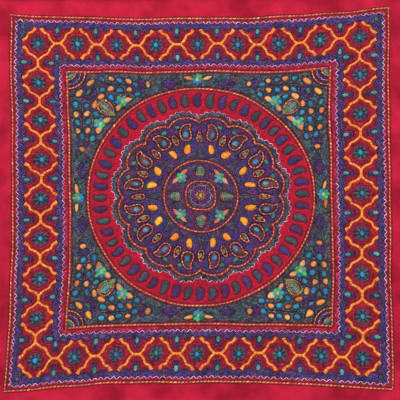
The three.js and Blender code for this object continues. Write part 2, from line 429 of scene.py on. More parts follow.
def wool_yarn(name, twist_pitch):
    """Two-ply wool: the stitch's own colour with painted shade on its sides and ends, lighter and darker
    along its fibres, with slanted plies in the bump, which follow the stitch in millimetres along and across
    it."""
    material, tree, shader = shade(name, roughness=0.85, sheen=0.04)
    # The stitch's colour with its painted shade, read from its points.
    dye_and_shade = add_node(tree, "Attribute")
    dye_and_shade.attribute_name = "yarn_colour_and_shade"
    place = add_node(tree, "TexCoord").outputs["Object"]
    fuzz = add_node(tree, "TexNoise", vector=place, scale=1100, detail=3)
    tone = add_node(tree, "MapRange", value=fuzz.outputs["Fac"], to_min=0.7, to_max=1.3)
    wool = add_node(tree, "VectorMath")
    wool.operation = "SCALE"
    tree.links.new(dye_and_shade.outputs["Color"], wool.inputs[0])
    tree.links.new(tone.outputs["Result"], wool.inputs["Scale"])
    tree.links.new(wool.outputs["Vector"], shader.inputs["Base Color"])
    along = add_node(tree, "UVMap")
    along.uv_map = "twist"
    plies = add_node(
        tree, "TexWave", vector=along.outputs["UV"], scale=WAVE_PERIOD / twist_pitch, distortion=0.6
    )
    plies.bands_direction = "DIAGONAL"
    add_bump(tree, shader, plies, fuzz, strength=0.45, distance=0.0003)
    return material


def sew(name, tables, yarn, sections=LONG_SECTIONS, hidden=False):
    """Makes tables of stitches one piece of the cloth, in one yarn, and marks the cloth under them as worked,
    unless they are to be hidden under others."""
    table = np.concatenate(tables)
    if not hidden:
        cover(table)
    piece = stitch_mesh(name, table, sections)
    piece.data.materials.append(yarn)
    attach(piece, "root")


def along_path(points, spacing, multiple=1):
    """Evenly spaced places along a polyline, in a multiple of a given number, and the directions there."""
    step = np.diff(points, axis=0)
    length = np.linalg.norm(step, axis=1)
    run = np.concatenate([[0], np.cumsum(length)])
    count = max(1, round(run[-1] / spacing / multiple)) * multiple
    at = (np.arange(count) + 0.5) * run[-1] / count
    place = np.stack([np.interp(at, run, points[:, k]) for k in (0, 1)], axis=1)
    part = np.clip(np.searchsorted(run, at) - 1, 0, len(step) - 1)
    return place, step[part] / length[part][:, None]


def square_path(half):
    """The four sides of a square round the middle, as a closed polyline."""
    return half * np.array([(1, -1), (1, 1), (-1, 1), (-1, -1), (1, -1)], dtype=float)


def heading(angle):
    """Unit directions at angles in radians, anticlockwise from the right."""
    return np.stack([np.cos(angle), np.sin(angle)], axis=1)


def round_path(radius, first=0.0):
    """A closed polyline round the middle from a first angle on, where radius is a number or one value for
    each of its points."""
    return np.reshape(radius, (-1, 1)) * heading(first + np.linspace(0, 2 * np.pi, ROUND_POINTS))


def running(points, offset, sizes, colours):
    """Stitches end to end along a path, moved sideways from it by an offset."""
    place, ahead = along_path(points, sizes["length"])
    place = place + offset * left_of(ahead)
    half = ahead * sizes["length"] * sizes["closeness"] / 2
    return stitches(place - half, place + half, sizes, dyed(colours, len(place)))


def corded(points, bead, beads, edging, edges):
    """A corded line: slanted beads along a path, over a thread that shows between them, with dark edges."""
    place, ahead = along_path(points, bead["pitch"])
    half = ahead * bead["length"] / 2 + left_of(ahead) * bead["slant"]
    cord = stitches(place - half, place + half, bead, dyed(beads, len(place)))
    core = running(points, 0, edging, CORD_CORE)
    return [cord, core] + [running(points, side * edging["offset"], edging, edges) for side in (-1, 1)]


thick_yarn = wool_yarn("thick_yarn", twist_pitch=1.8)
frame_lines = (
    (square_path(OUTER_CORD), CORD_ORANGE),
    (square_path(FIELD_CORD), INNER_ORANGE),
    (round_path(ROUND_CORD), INNER_ORANGE),
)
frame_cords = [corded(line, BEAD, beads, EDGING, CORD_EDGING) for line, beads in frame_lines]
sew("corded_frames", sum(frame_cords, []), thick_yarn)


# Zigzag lines: fine pink wool worked to and fro along both edges of the border, a stitch for each slope,
# sewn on the bare cloth before the filling is fitted round it.
OUTER_ZIGZAG = 275.0
INNER_ZIGZAG = 206.0
ZIGZAG = {"pitch": 8.95, "swing": 2.2, "width": 1.45, "crown": 1.35}
ZIGZAG_UNEVEN = (0.85, 1.12)
ZIGZAG_STRAY = 0.18
PALE_PINK = ((0.5, 246, 180, 220), (0.3, 224, 146, 202), (0.2, 250, 202, 232))
ROSE_PINK = ((0.5, 250, 164, 208), (0.3, 234, 134, 188), (0.2, 252, 188, 220))


def zigzag(points, sizes, colours, multiple=2):
    """A zigzag: points at half the pitch along a path, set off to its two sides in turn, and a stitch from
    each point to the next. The last one closes it, and an open line leaves that one out."""
    place, ahead = along_path(points, sizes["pitch"] / 2, multiple)
    side = np.where(np.arange(len(place)) % 2, 1, -1)
    swing = side * sizes["swing"] * rng.uniform(*ZIGZAG_UNEVEN, len(place))
    tip = place + left_of(ahead) * swing[:, None] + rng.normal(0, ZIGZAG_STRAY, place.shape)
    onward = np.roll(tip, -1, axis=0)
    return stitches(tip, onward, sizes, dyed(colours, len(tip)))


fine_yarn = wool_yarn("fine_yarn", twist_pitch=1.1)
zigzag_lines = [
    zigzag(square_path(OUTER_ZIGZAG), ZIGZAG, PALE_PINK),
    zigzag(square_path(INNER_ZIGZAG), ZIGZAG, ROSE_PINK),
]
sew("border_zigzags", zigzag_lines, fine_yarn)


# Border lattice: a net of yellow wool in satin stitch, with a dark red line along both of its sides. Four
# stepped branches leave each crossing and end in a broad foot beside the next rosette, and at the corners
# they turn.
BORDER_MIDDLE = 240.0
BORDER_CORNER = (BORDER_MIDDLE, BORDER_MIDDLE)
REPEAT = 60.0
REPEATS = 8
BAR = np.array([(-6.8, 0.0), (6.8, 0.0)])
BRANCH = np.array(  # from a crossing
    [
        (4.6, 0.7),  # the bar's end
        (7.2, 2.4),
        (10.8, 6.8),
        (12.7, 10.8),
        (14.0, 14.2),  # the knee
        (16.4, 16.0),
        (20.2, 17.2),  # the step
        (22.6, 20.4),
        (24.8, 24.2),  # the foot
    ]
)
CORNER_BRACKET = np.array(  # from the corner rosette
    [
        (4.2, 24.6),  # a foot
        (6.6, 21.0),
        (9.6, 18.0),  # the step
        (13.6, 16.8),
        (15.6, 15.6),  # the knee
        (16.8, 13.6),
        (18.0, 9.6),  # the other step
        (21.0, 6.6),
        (24.6, 4.2),  # the other foot
    ]
)
CORNER_LINK = np.array(  # from the corner rosette, on its inner side
    [
        (-25.5, -0.8),  # the crossing to the left
        (-22.4, -3.8),
        (-18.6, -8.7),
        (-16.2, -14.0),  # the knee
        (-14.0, -16.2),
        (-8.7, -18.6),
        (-3.8, -22.4),
        (-0.8, -25.5),  # the crossing below
    ]
)
# edge: painted shade along the sides of the satin stitches.
LATTICE = {"pitch": 1.25, "half": 2.0, "foot": 3.2, "slant": 0.5, "width": 1.6, "crown": 1.5, "edge": 0.86}
LATTICE_BAR = {**LATTICE, "half": 2.3}
FOOT = {"from": 0.78, "over": 0.22}  # the share of a branch where its foot begins, and the rest of it
RIM = {"offset": 2.7, "length": 4.4, "width": 1.7, "crown": 0.95, "closeness": 1.15}
LATTICE_YELLOW = ((0.5, 250, 148, 70), (0.3, 240, 134, 58), (0.2, 252, 166, 96))
BAR_YELLOW = ((0.6, 254, 156, 64), (0.4, 248, 146, 58))
RIM_RED = ((0.6, 148, 36, 22), (0.4, 120, 26, 28))


def eased(points, count=40):
    """A smooth curve through hand-set points: each stretch is a cubic whose slope at either end is half the
    step between the points before and after that end."""
    padded = np.concatenate([[2 * points[0] - points[1]], points, [2 * points[-1] - points[-2]]])
    at = np.linspace(0, len(points) - 1, count)
    part = np.minimum(at.astype(int), len(points) - 2)
    t = (at - part)[:, None]
    a, b, c, d = (padded[part + k] for k in range(4))
    return 0.5 * (2 * b + (c - a) * t + (2 * a - 5 * b + 4 * c - d) * t**2 + (3 * b - a - 3 * c + d) * t**3)


def satin_line(points, sizes, feet, colours):
    """Satin stitches across a path, close together and a little slanted. The line is wider towards a foot,
    which is at its end, at both ends or at neither."""
    place, ahead = along_path(points, sizes["pitch"])
    share = np.linspace(0, 1, len(place))
    near = {"end": share, "both": np.maximum(share, 1 - share), "none": np.zeros_like(share)}[feet]
    broad = np.clip((near - FOOT["from"]) / FOOT["over"], 0, 1)
    half = sizes["half"] + (sizes["foot"] - sizes["half"]) * broad
    reach = left_of(ahead) * half[:, None] + ahead * sizes["slant"]
    return stitches(place - reach, place + reach, sizes, dyed(colours, len(place)))


def spun(x, y, cos, sin):
    """Points turned about the middle by the angle that has this cosine and sine."""
    return np.stack([x * cos - y * sin, x * sin + y * cos], axis=-1)


def turned(points, quarter):
    """Points turned by a number of quarter turns, so that what is made for the top side fits the others."""
    cos, sin = ((1, 0), (0, 1), (-1, 0), (0, -1))[quarter]
    return spun(points[..., 0], points[..., 1], cos, sin)


branches = []
bars = []
crossings = (np.arange(REPEATS) - (REPEATS - 1) / 2) * REPEAT
for quarter in range(4):
    for crossing in crossings:
        bars.append(turned(BAR + (crossing, BORDER_MIDDLE), quarter))
        for side in (-1, 1):
            for inward in (-1, 1):
                at_corner = side * crossing > BORDER_MIDDLE - REPEAT
                if at_corner and inward == -1:
                    continue
                branch = eased(BRANCH) * (side, inward) + (crossing, BORDER_MIDDLE)
                branches.append((turned(branch, quarter), "end"))
    branches.append((turned(eased(CORNER_BRACKET) + BORDER_CORNER, quarter), "both"))
    branches.append((turned(eased(CORNER_LINK) + BORDER_CORNER, quarter), "none"))
lattice = [satin_line(path, LATTICE, feet, LATTICE_YELLOW) for path, feet in branches]
lattice += [satin_line(path, LATTICE_BAR, "none", BAR_YELLOW) for path in bars]
lattice_lines = [path for path, feet in branches] + bars
rims = [running(path, side * RIM["offset"], RIM, RIM_RED) for path in lattice_lines for side in (-1, 1)]
sew("border_lattice", lattice, thick_yarn)
sew("lattice_rims", rims, fine_yarn)


# Border rosettes and drops: wool flowers in satin stitch with eight dark petals and a blue eye, one in each
# cell of the lattice, and a turquoise drop on a dark one in each notch beside a crossing.
PETALS = 8
PETAL = {"length": 6.6, "width": 5.4, "fullness": 1.0}
PETAL_FROM = 4.6
ROSETTE_EYE = {"turns": 0.3, "length": 6.8, "width": 7.6}
ROSETTE_HEART = {"turns": 1.1, "length": 10.2, "width": 10.2}
DROP = {"length": 8.4, "width": 7.2, "fullness": 0.7}
DROP_FROM_MIDDLE = 21.0
CORNER_DOT = {"turns": 0.8, "length": 5.4, "width": 5.4}
CORNER_DOT_FROM_MIDDLE = 265.0
CORNERS = np.array([(1, 1), (-1, 1), (-1, -1), (1, -1)])
ROSETTE_PETALS = ((0.4, 74, 92, 88), (0.3, 92, 82, 94), (0.3, 68, 84, 96))
DOT_TEAL = ((1.0, 70, 108, 108),)
ROSETTE_NAVY = ((0.6, 46, 62, 114), (0.4, 56, 54, 106))
BRIGHT_BLUE = ((0.6, 42, 154, 191), (0.25, 53, 134, 183), (0.15, 44, 166, 178))
TURQUOISE = ((0.5, 78, 144, 138), (0.3, 93, 142, 145), (0.2, 110, 158, 156))
# edge and fade: painted shade along the sides of satin stitches and towards their ends.
SATIN = {"pitch": 1.25, "width": 2.0, "crown": 1.5, "edge": 0.84, "fade": 0.4}
LOW_SATIN = {"pitch": 1.25, "width": 2.0, "crown": 0.6, "edge": 0.8}
SATIN_SLANT = 0.12
FEWEST_STITCHES = 3
SPINE_STEPS = 200
HAND_STRAY = (0.06, 0.06, 0.13)  # of a leaf's width, its length and its breadth at the tip, as shares
LEAF_STRAY = {"place": 0.3, "turn": 0.08}
LEAF_DEPTH = 0.06


def leaf_profile(share, widest, fullness):
    """Half width of a leaf along its length, as a share of its greatest: a power curve that is widest at a
    chosen place. Widest at a half with a fullness of 1 it is an ellipse, and nearer one end it is a drop."""
    rise = (share / widest) ** widest
    fall = ((1 - share) / (1 - widest)) ** (1 - widest)
    return (rise * fall) ** fullness


def leaf_spine(share, length, curl):
    """Middle line of a leaf from its base to its tip, and the directions across it. Its heading turns to the
    right with the cube of the way along it, by curl radians in all, so that a paisley's tip hooks."""
    fine = np.linspace(0, 1, SPINE_STEPS + 1)
    step = np.stack([np.sin(curl * fine**3), np.cos(curl * fine**3)], axis=1)
    line = np.cumsum(step, axis=0) * length / SPINE_STEPS
    line = line - line[SPINE_STEPS // 2]
    spine = np.stack([np.interp(share, fine, line[:, k]) for k in (0, 1)], axis=1)
    return spine, np.stack([np.cos(curl * share**3), -np.sin(curl * share**3)], axis=1)


def satin_leaf(length, width, curl=0.0, widest=0.5, fullness=0.8, sizes=SATIN):
    """Stitches across one leaf, petal, dot or paisley about its own middle, tip upwards: their two ends."""
    count = max(FEWEST_STITCHES, round(length / sizes["pitch"]))
    share = (np.arange(count) + 0.5) / count
    spine, across = leaf_spine(share, length, curl)
    reach = across * (width / 2 * leaf_profile(share, widest, fullness))[:, None]
    slant = SATIN_SLANT * left_of(reach)
    return spine - reach - slant, spine + reach + slant


def by_hand(count):
    """How far each of several like leaves differs: the shares by which it is wider, longer and broader at its
    tip."""
    return rng.normal(0, HAND_STRAY, (count, 3))


def placed(local, middles, turns, flips=1.0, strays=None):
    """Copies of local points at several middles, each stretched and broadened towards its tip by its own
    shares, mirrored across its own upright if its flip is -1, and turned."""
    middles = np.atleast_2d(middles)
    turns = np.broadcast_to(turns, len(middles))[:, None]
    flips = np.broadcast_to(flips, len(middles))[:, None]
    wider, longer, broader = np.zeros((3, len(middles), 1)) if strays is None else strays.T[..., None]
    tipward = local[None, :, 1] / np.abs(local[:, 1]).max()
    x = local[None, :, 0] * flips * (1 + wider + broader * tipward)
    y = local[None, :, 1] * (1 + longer)
    return (spun(x, y, np.cos(turns), np.sin(turns)) + middles[:, None, :]).reshape(-1, 2)


def leaves(middles, turns, palette, length, width, flips=1.0, strays=None, sizes=SATIN, **form):
    """A table of like leaves, each from one needleful of yarn and a little uneven in its place, angle and
    form."""
    middles = np.atleast_2d(np.asarray(middles, dtype=float))
    if strays is None:
        strays = by_hand(len(middles))
        middles = middles + rng.normal(0, LEAF_STRAY["place"], middles.shape)
        turns = np.broadcast_to(turns, len(middles)) + rng.normal(0, LEAF_STRAY["turn"], len(middles))
    start, end = satin_leaf(length, width, sizes=sizes, **form)
    begin = placed(start, middles, turns, flips, strays)
    finish = placed(end, middles, turns, flips, strays)
    yarn = sizes["width"] * length / sizes["pitch"] / len(start)
    colour = np.repeat(dyed(palette, len(middles), LEAF_DEPTH), len(start), axis=0)
    colour = colour * rng.normal(1, LEAF_DEPTH, (len(begin), 1))
    return stitches(begin, finish, {**sizes, "width": yarn}, np.clip(colour, DARKEST_DYE, 255))


def ring_of(middles, count, radius, first=0.0):
    """Places on a circle round each middle, and the turn that points a leaf outwards at each of them."""
    angle = first + np.arange(count) * 2 * np.pi / count
    places = (np.asarray(middles)[:, None, :] + (heading(angle) * radius)[None]).reshape(-1, 2)
    return places, np.tile(angle - np.pi / 2, len(middles))


def on_four_sides(points):
    """Points of the top side, and the same turned to the three other sides."""
    return np.concatenate([turned(points, quarter) for quarter in range(4)])


quarter_turns = np.arange(4) * np.pi / 2
rosette_row = [(place * REPEAT - BORDER_MIDDLE, BORDER_MIDDLE) for place in range(REPEATS)]
rosette_middles = on_four_sides(np.array(rosette_row))
petal_places, petal_turns = ring_of(rosette_middles, PETALS, PETAL_FROM + PETAL["length"] / 2)
drop_offsets = (-DROP_FROM_MIDDLE, DROP_FROM_MIDDLE)
drop_row = [(crossing, BORDER_MIDDLE + offset) for crossing in crossings for offset in drop_offsets]
drop_middles = on_four_sides(np.array(drop_row))
drop_turns = np.repeat(quarter_turns, len(drop_row))
rosettes = [
    leaves(petal_places, petal_turns, ROSETTE_PETALS, **PETAL),
    leaves(rosette_middles, palette=ROSETTE_NAVY, sizes=LOW_SATIN, **ROSETTE_HEART),
    leaves(rosette_middles, palette=BRIGHT_BLUE, **ROSETTE_EYE),
    leaves(drop_middles, drop_turns, TURQUOISE, **DROP),
    leaves(CORNER_DOT_FROM_MIDDLE * CORNERS, palette=DOT_TEAL, **CORNER_DOT),
]
sew("border_rosettes", rosettes, thick_yarn)


# Border filling: rows of close wool stitches over all the cloth left free in the border, crimson round the
# lattice, and purple and navy in the strips along the zigzags, the dark drops and the rosettes' grounds. A
# plum line of running stitch goes round the rosettes and drops and along the strips, and is worked first.
FILL = {"pitch": 1.5, "length": 3.6, "slant": 0.3, "width": 2.2, "crown": 1.1, "shortest": 0.7, "step": 0.4}
FILL_TONES = {"patch": 0.26, "stitch": 0.145}
FILL_STRAY = {"ends": 0.22, "row": 0.08}
FILL_OVERLAP = 0.1
UNDERLAY = {**FILL, "pitch": 3.6, "length": 16.0, "width": 7.0, "crown": 0.5, "shortest": 1.0, "step": 0.8}
MITRE = 1.2
NEEDLEFUL = 6.0
NEEDLEFUL_STRAY = 0.22
NEEDLEFUL_WANDER = {"by": 0.4, "across": 1.9, "up": 1.7}
NEEDLEFULS = 101
STRIP = {"from": 24.6, "lobe": 13.4, "lobe_half": 4.2, "lobe_depth": 3.3, "past_bracket": 32.0}
STRIP_REACH = {"outer": 232.0, "inner": 213.0}
STRIP_POINTS = 481
DARK_DROP = {"nearest": 10.2, "reach": 11.4, "width": 13.2, "fullness": 0.24, "farthest": 1.25}
DARK_DROP_POINTS = 41
ROSETTE_GROUND = 11.0
ROSETTE_HALO = 12.1
HALO = {"outside": 0.6, "length": 3.8, "width": 2.2, "crown": 1.0, "closeness": 1.15}
UNDERLAY_ROWS = (INNER_ZIGZAG, OUTER_ZIGZAG)  # the first and the last row, from the cloth's middle
ROSETTE_ROWS = (BORDER_MIDDLE - 12, BORDER_MIDDLE + 12)
STRIP_ROWS = (INNER_ZIGZAG + 0.6, OUTER_ZIGZAG - 0.4)
DARK_DROP_ROWS = (INNER_ZIGZAG + 1, OUTER_ZIGZAG - 1)
CRIMSON_ROWS = (INNER_ZIGZAG + 4, OUTER_ZIGZAG - 4)
OUTER_BAND_ROWS = (OUTER_ZIGZAG - 1, OUTER_CORD - 3.2)
INNER_BAND_ROWS = (FIELD_CORD + 3.4, INNER_ZIGZAG + 1)
HALO_PLUM = ((0.6, 108, 30, 60), (0.4, 94, 36, 68))
HALO_PURPLE = ((0.6, 80, 34, 64), (0.4, 72, 38, 72))
GROUND_PLUM = ((0.5, 84, 58, 86), (0.25, 110, 46, 62), (0.25, 86, 68, 92))
PURPLE_STRIP = (
    (0.36, 85, 55, 109),
    (0.26, 68, 61, 121),
    (0.16, 100, 50, 103),
    (0.1, 64, 50, 84),
    (0.12, 83, 75, 104),
)
DARK_DROPS = ((0.4, 82, 48, 98), (0.35, 64, 56, 90), (0.25, 102, 46, 94))
# Near-black underlay: painted shade that shows in the gaps between the filling's stitches.
GAP_SHADE_DARK = ((0.6, 34, 24, 48), (0.4, 42, 30, 40))
CRIMSON = ((0.4, 150, 25, 46), (0.2, 112, 20, 42), (0.25, 172, 33, 44), (0.15, 148, 25, 76))
BAND_CRIMSON = ((0.4, 169, 36, 62), (0.3, 148, 30, 55), (0.3, 176, 43, 88))
needleful_draw = rng.random((NEEDLEFULS, NEEDLEFULS))


def needlefuls(palette, place, tones):
    """Colours by needlefuls of yarn: the cloth is cut into uneven patches, each drawn once from the palette
    and a little lighter or darker, and stitches near a patch's edge stray over it."""
    stray = place + rng.normal(0, NEEDLEFUL_STRAY * NEEDLEFUL, place.shape)
    across, up = stray.T
    wander_across = NEEDLEFUL_WANDER["by"] * np.sin(NEEDLEFUL_WANDER["across"] * up / NEEDLEFUL)
    wander_up = NEEDLEFUL_WANDER["by"] * np.sin(NEEDLEFUL_WANDER["up"] * across / NEEDLEFUL)
    column = np.floor(across / NEEDLEFUL + wander_across).astype(int) % NEEDLEFULS
    row = np.floor(up / NEEDLEFUL + wander_up).astype(int) % NEEDLEFULS
    tone = 1 + tones["patch"] * (needleful_draw[row, column] - 0.5)
    return varied(picked(palette, needleful_draw[column, row]) * tone[:, None], tones["stitch"])


def filled(region, place, rows, along, scale, longest, palette, sizes=FILL, tones=FILL_TONES):
    """Rows of filling stitches. Each row is followed in small steps, kept where it is inside the region and,
    but for an underlay, on free cloth, and every kept run is cut into stitches of about equal length that
    slant a little across the row. place gives the design's points for a row and a way along it, scale the
    millimetres in one unit of that way, and longest the most units that one stitch may span."""
    row, step = np.meshgrid(rows, along, indexing="ij")
    u, v = place(row, step)
    free = region(u, v)
    if sizes is not UNDERLAY:
        free = free & ~covered[cover_index(u, v)]
    change = np.diff(np.pad(free, ((0, 0), (1, 1))).astype(int), axis=1)
    in_row, first = np.nonzero(change == 1)
    last = np.nonzero(change == -1)[1] - 1
    level = rows[in_row]
    length = (along[last] - along[first]) * scale(level)
    kept = length > sizes["shortest"]
    level, first, last, length = level[kept], first[kept], last[kept], length[kept]
    width = along[last] - along[first]
    parts = np.maximum(np.round(length / sizes["length"]), np.ceil(width / longest))
    parts = np.maximum(1, parts).astype(int)
    run = np.repeat(np.arange(len(parts)), parts)
    order = np.arange(len(run)) - np.repeat(np.cumsum(parts) - parts, parts)
    stray = rng.uniform(-FILL_STRAY["ends"], FILL_STRAY["ends"], (2, len(run)))
    begin = np.where(order == 0, 0, order + stray[0] - FILL_OVERLAP) / parts[run]
    finish = np.where(order == parts[run] - 1, parts[run], order + 1 + stray[1] + FILL_OVERLAP) / parts[run]
    level = level[run] + rng.normal(0, FILL_STRAY["row"], len(run))
    start = np.stack(place(level - sizes["slant"], along[first][run] + begin * width[run]), axis=1)
    end = np.stack(place(level + sizes["slant"], along[first][run] + finish * width[run]), axis=1)
    return stitches(start, end, sizes, needlefuls(palette, (start + end) / 2, tones))


def side_rows(region, first_and_last, palette, sizes=FILL):
    """Filling for a square band: rows along each of its four sides, mitred at the corners."""
    tables = []
    inner, outer = first_and_last
    rows = np.arange(inner, outer, sizes["pitch"])
    along = np.arange(-outer, outer, sizes["step"])
    for quarter in range(4):

        def place(row, step, quarter=quarter):
            points = turned(np.stack([step, row], axis=-1), quarter)
            return points[..., 0], points[..., 1]

        def own(u, v, quarter=quarter):
            back = turned(np.stack([u, v], axis=-1), (4 - quarter) % 4)
            return region(u, v) & (np.abs(back[..., 0]) <= back[..., 1] + MITRE)

        table = filled(own, place, rows, along, np.ones_like, 2 * outer, palette, sizes)
        if sizes is not UNDERLAY:
            cover(table)
        tables.append(table)
    return tables


def sew_filling(name, tables, hidden=False):
    """Makes tables of filling stitches one piece, with two sections a stitch."""
    sew(name, tables, filling_yarn, SHORT_SECTIONS, hidden)


def square_fold(u, v):
    """Distances from the cloth's middle outwards and along the nearest side."""
    return np.maximum(np.abs(u), np.abs(v)), np.minimum(np.abs(u), np.abs(v))


def crossing_fold(along):
    """Distance along a side from the nearest crossing."""
    return np.abs(along % REPEAT - REPEAT / 2)


def border_fold(u, v):
    """Distance from the nearest crossing along the border, and from the border's middle line outwards."""
    across, along = square_fold(u, v)
    return crossing_fold(along), across - BORDER_MIDDLE


def in_rosette(u, v):
    """Inside the round ground of a rosette."""
    across, along = square_fold(u, v)
    along = along - np.round(along / REPEAT) * REPEAT
    return np.hypot(along, across - BORDER_MIDDLE) < ROSETTE_GROUND


def in_dark_drop(u, v):
    """Inside one of the dark drops, which narrow as a power curve from the strips to a round end near a
    crossing."""
    from_crossing, out = border_fold(u, v)
    share = np.maximum(0, np.abs(out) - DARK_DROP["nearest"]) / DARK_DROP["reach"]
    return from_crossing < DARK_DROP["width"] / 2 * share ** DARK_DROP["fullness"]


def dark_drop_edge():
    """Edge of a dark drop above a crossing: down one side of its power curve, round its end and up the other
    side, with points closest together at the end."""
    side = np.linspace(-1, 1, DARK_DROP_POINTS)
    share = DARK_DROP["farthest"] * side**4
    half = DARK_DROP["width"] / 2 * share ** DARK_DROP["fullness"]
    return np.stack([np.sign(side) * half, DARK_DROP["nearest"] + DARK_DROP["reach"] * share], axis=1)


def strip_from(from_crossing):
    """Distance from the border's middle line at which a strip begins, with a lobe like a bell curve to both
    sides of each drop."""
    lobe = np.exp(-(((from_crossing - STRIP["lobe"]) / STRIP["lobe_half"]) ** 2))
    return STRIP["from"] - STRIP["lobe_depth"] * lobe


def strip_edge(reach, side):
    """Edge of the outer strip of the top side, or of the inner one if side is -1, to both sides of its
    middle."""
    along = np.linspace(-reach, reach, STRIP_POINTS)
    return np.stack([along, BORDER_MIDDLE + side * strip_from(crossing_fold(along))], axis=1)


def in_strip(u, v):
    """Inside the strips along the zigzags, or outside the bracket of a corner."""
    from_crossing, out = border_fold(u, v)
    corner = square_fold(u, v)[1] - BORDER_MIDDLE
    past_bracket = (corner > 0) & (corner + out > STRIP["past_bracket"])
    return (np.abs(out) > strip_from(from_crossing)) | past_bracket


def anywhere(u, v):
    """All of the rows' reach."""
    return np.ones(np.shape(u), dtype=bool)


def in_dark(u, v):
    """Anywhere in the border that is filled with purple or navy."""
    return in_rosette(u, v) | in_dark_drop(u, v) | in_strip(u, v)


halos = [running(middle + round_path(ROSETTE_HALO), 0, HALO, HALO_PLUM) for middle in rosette_middles]
for quarter in range(4):
    for crossing in crossings:
        for side in (-1, 1):
            edge = turned(dark_drop_edge() * (1, side) + (crossing, BORDER_MIDDLE), quarter)
            halos.append(running(edge, -side * HALO["outside"], HALO, HALO_PURPLE))
    for side, reach in ((1, STRIP_REACH["outer"]), (-1, STRIP_REACH["inner"])):
        edge = turned(strip_edge(reach, side), quarter)
        line = running(edge, -side * HALO["outside"], HALO, HALO_PLUM)
        middle_u, middle_v = (line["start"] + line["end"]).T / 2
        taken = covered[cover_index(middle_u, middle_v)] | in_dark_drop(middle_u, middle_v)
        halos.append(line[~taken])
sew("border_halos", halos, fine_yarn)
filling_yarn = wool_yarn("filling_yarn", twist_pitch=1.4)
# Under the purple and navy a sparse near-black underlay is sewn first, as painted shade for the gaps between
# stitches.
border_shade_underlay = side_rows(in_dark, UNDERLAY_ROWS, GAP_SHADE_DARK, UNDERLAY)
sew_filling("border_shade_underlay", border_shade_underlay, hidden=True)
rosette_grounds = side_rows(in_rosette, ROSETTE_ROWS, GROUND_PLUM)
strips = side_rows(in_strip, STRIP_ROWS, PURPLE_STRIP)
dark_drops = side_rows(in_dark_drop, DARK_DROP_ROWS, DARK_DROPS)
sew_filling("border_purple", rosette_grounds + strips + dark_drops)
sew_filling("border_crimson", side_rows(anywhere, CRIMSON_ROWS, CRIMSON))
narrow_bands = side_rows(anywhere, OUTER_BAND_ROWS, BAND_CRIMSON)
narrow_bands += side_rows(anywhere, INNER_BAND_ROWS, BAND_CRIMSON)
sew_filling("narrow_bands", narrow_bands)


# Field sprays: wool leaves, dots and flowers in satin stitch in the four spandrels between the square cord
# and the round one, alike in each corner and on both sides of its diagonal. Their stems are dark lines of
# running stitch, and arcs of beads and a pale scalloped line round off each corner.
INWARDS = (-1, -1)
OUTWARDS = (1, 1)
SPRIG_PAIRS = np.array(  # inner and outer leaf of each pair, upper right corner, blue and orange by turns
    [
        [(168.2, 144.4), (184.6, 145.4)],
        [(168.9, 132.0), (184.8, 131.0)],
        [(166.9, 119.0), (182.5, 118.8)],
        [(168.0, 105.4), (182.4, 105.7)],
        [(160.4, 92.8), (176.5, 95.2)],
    ]
)
SPRIG_LEAF = {"length": 8.0, "width": 8.6, "widest": 0.46}
SPRIG_SPREAD = 0.4
STEM_PAIRS = 4  # the fifth pair has no stem
STEM = {"length": 4.6, "width": 1.5, "crown": 1.2, "closeness": 1.1}
SHADED_STRAY = {"form": 1.25, "place": 0.4, "turn": 0.16}
SHADOW_LINE = {"around": 1.5, "length": 3.0, "width": 1.8, "crown": 0.75, "closeness": 1.15}
OUTLINE_POINTS = 40
FIELD_BLUE = ((0.5, 44, 134, 174), (0.3, 56, 120, 164), (0.2, 50, 142, 162))
FIELD_ORANGE = ((0.5, 226, 146, 78), (0.25, 218, 130, 64), (0.25, 232, 160, 100))
CORNER_YELLOW = ((0.6, 228, 152, 70), (0.4, 222, 142, 62))
FLOWER_PEACH = ((0.6, 222, 156, 106), (0.4, 212, 138, 88))
LEAF_GREEN = ((0.5, 66, 170, 120), (0.3, 84, 176, 138), (0.2, 92, 164, 104))
TEAL = ((0.6, 60, 128, 116), (0.4, 72, 132, 108))
GREY_BLUE = ((0.5, 76, 142, 158), (0.5, 94, 140, 144))
SPRIG_OLIVE = ((0.6, 104, 132, 86), (0.4, 120, 128, 82))
BROWN_ORANGE = ((0.35, 182, 98, 72), (0.25, 194, 132, 88), (0.2, 150, 84, 72), (0.2, 120, 136, 84))
OLIVE_BROWN = ((0.4, 118, 126, 86), (0.3, 148, 104, 80), (0.3, 104, 122, 98))
PEACH = ((0.6, 220, 164, 112), (0.4, 212, 150, 98))
DULL_LILAC = ((0.6, 190, 156, 192), (0.4, 168, 134, 176))
STEM_DARK = ((0.6, 34, 34, 44), (0.4, 46, 40, 58))
LEAF_SHADOW = ((0.4, 68, 70, 86), (0.3, 94, 66, 62), (0.3, 62, 78, 86))
FIELD_LEAVES = (  # colours, place in the upper right corner, way of the tip, length, width, widest place
    (FIELD_BLUE, (155.8, 131.4), (1, 1), 7.2, 7.6, 0.5),
    (CORNER_YELLOW, (179.2, 162.8), (1, -1), 12.6, 8.4, 0.4),
    (FIELD_ORANGE, (157.0, 146.4), (-0.3, 1), 10.4, 8.2, 0.5),
    (FLOWER_PEACH, (105.0, 152.4), (-1, 0.4), 9.6, 9.4, 0.34),
    (FLOWER_PEACH, (121.4, 138.4), (0.5, -1), 9.4, 9.2, 0.36),
    (FIELD_ORANGE, (75.2, 177.0), (0.2, 1), 7.6, 8.2, 0.45),
)
DIAGONAL_LEAVES = (  # the same for those on the diagonal
    (TEAL, (165.0, 165.0), (1, -1), 8.6, 5.6, 0.5),
    (SPRIG_OLIVE, (130.6, 130.6), (-1, -1), 9.6, 7.0, 0.42),
    (TEAL, (190.0, 190.0), (1, -1), 9.6, 7.2, 0.5),
)
FLOWER = {"from": 1.8, "length": 7.2, "width": 8.2, "eye": 6.4}
FLOWER_TURNS = {"eye": 0.2, "ground": 0.9}
FLOWER_GROUND = 1.6
FLOWER_WIDEST = 0.6
FIELD_FLOWER = (116.0, 148.8)
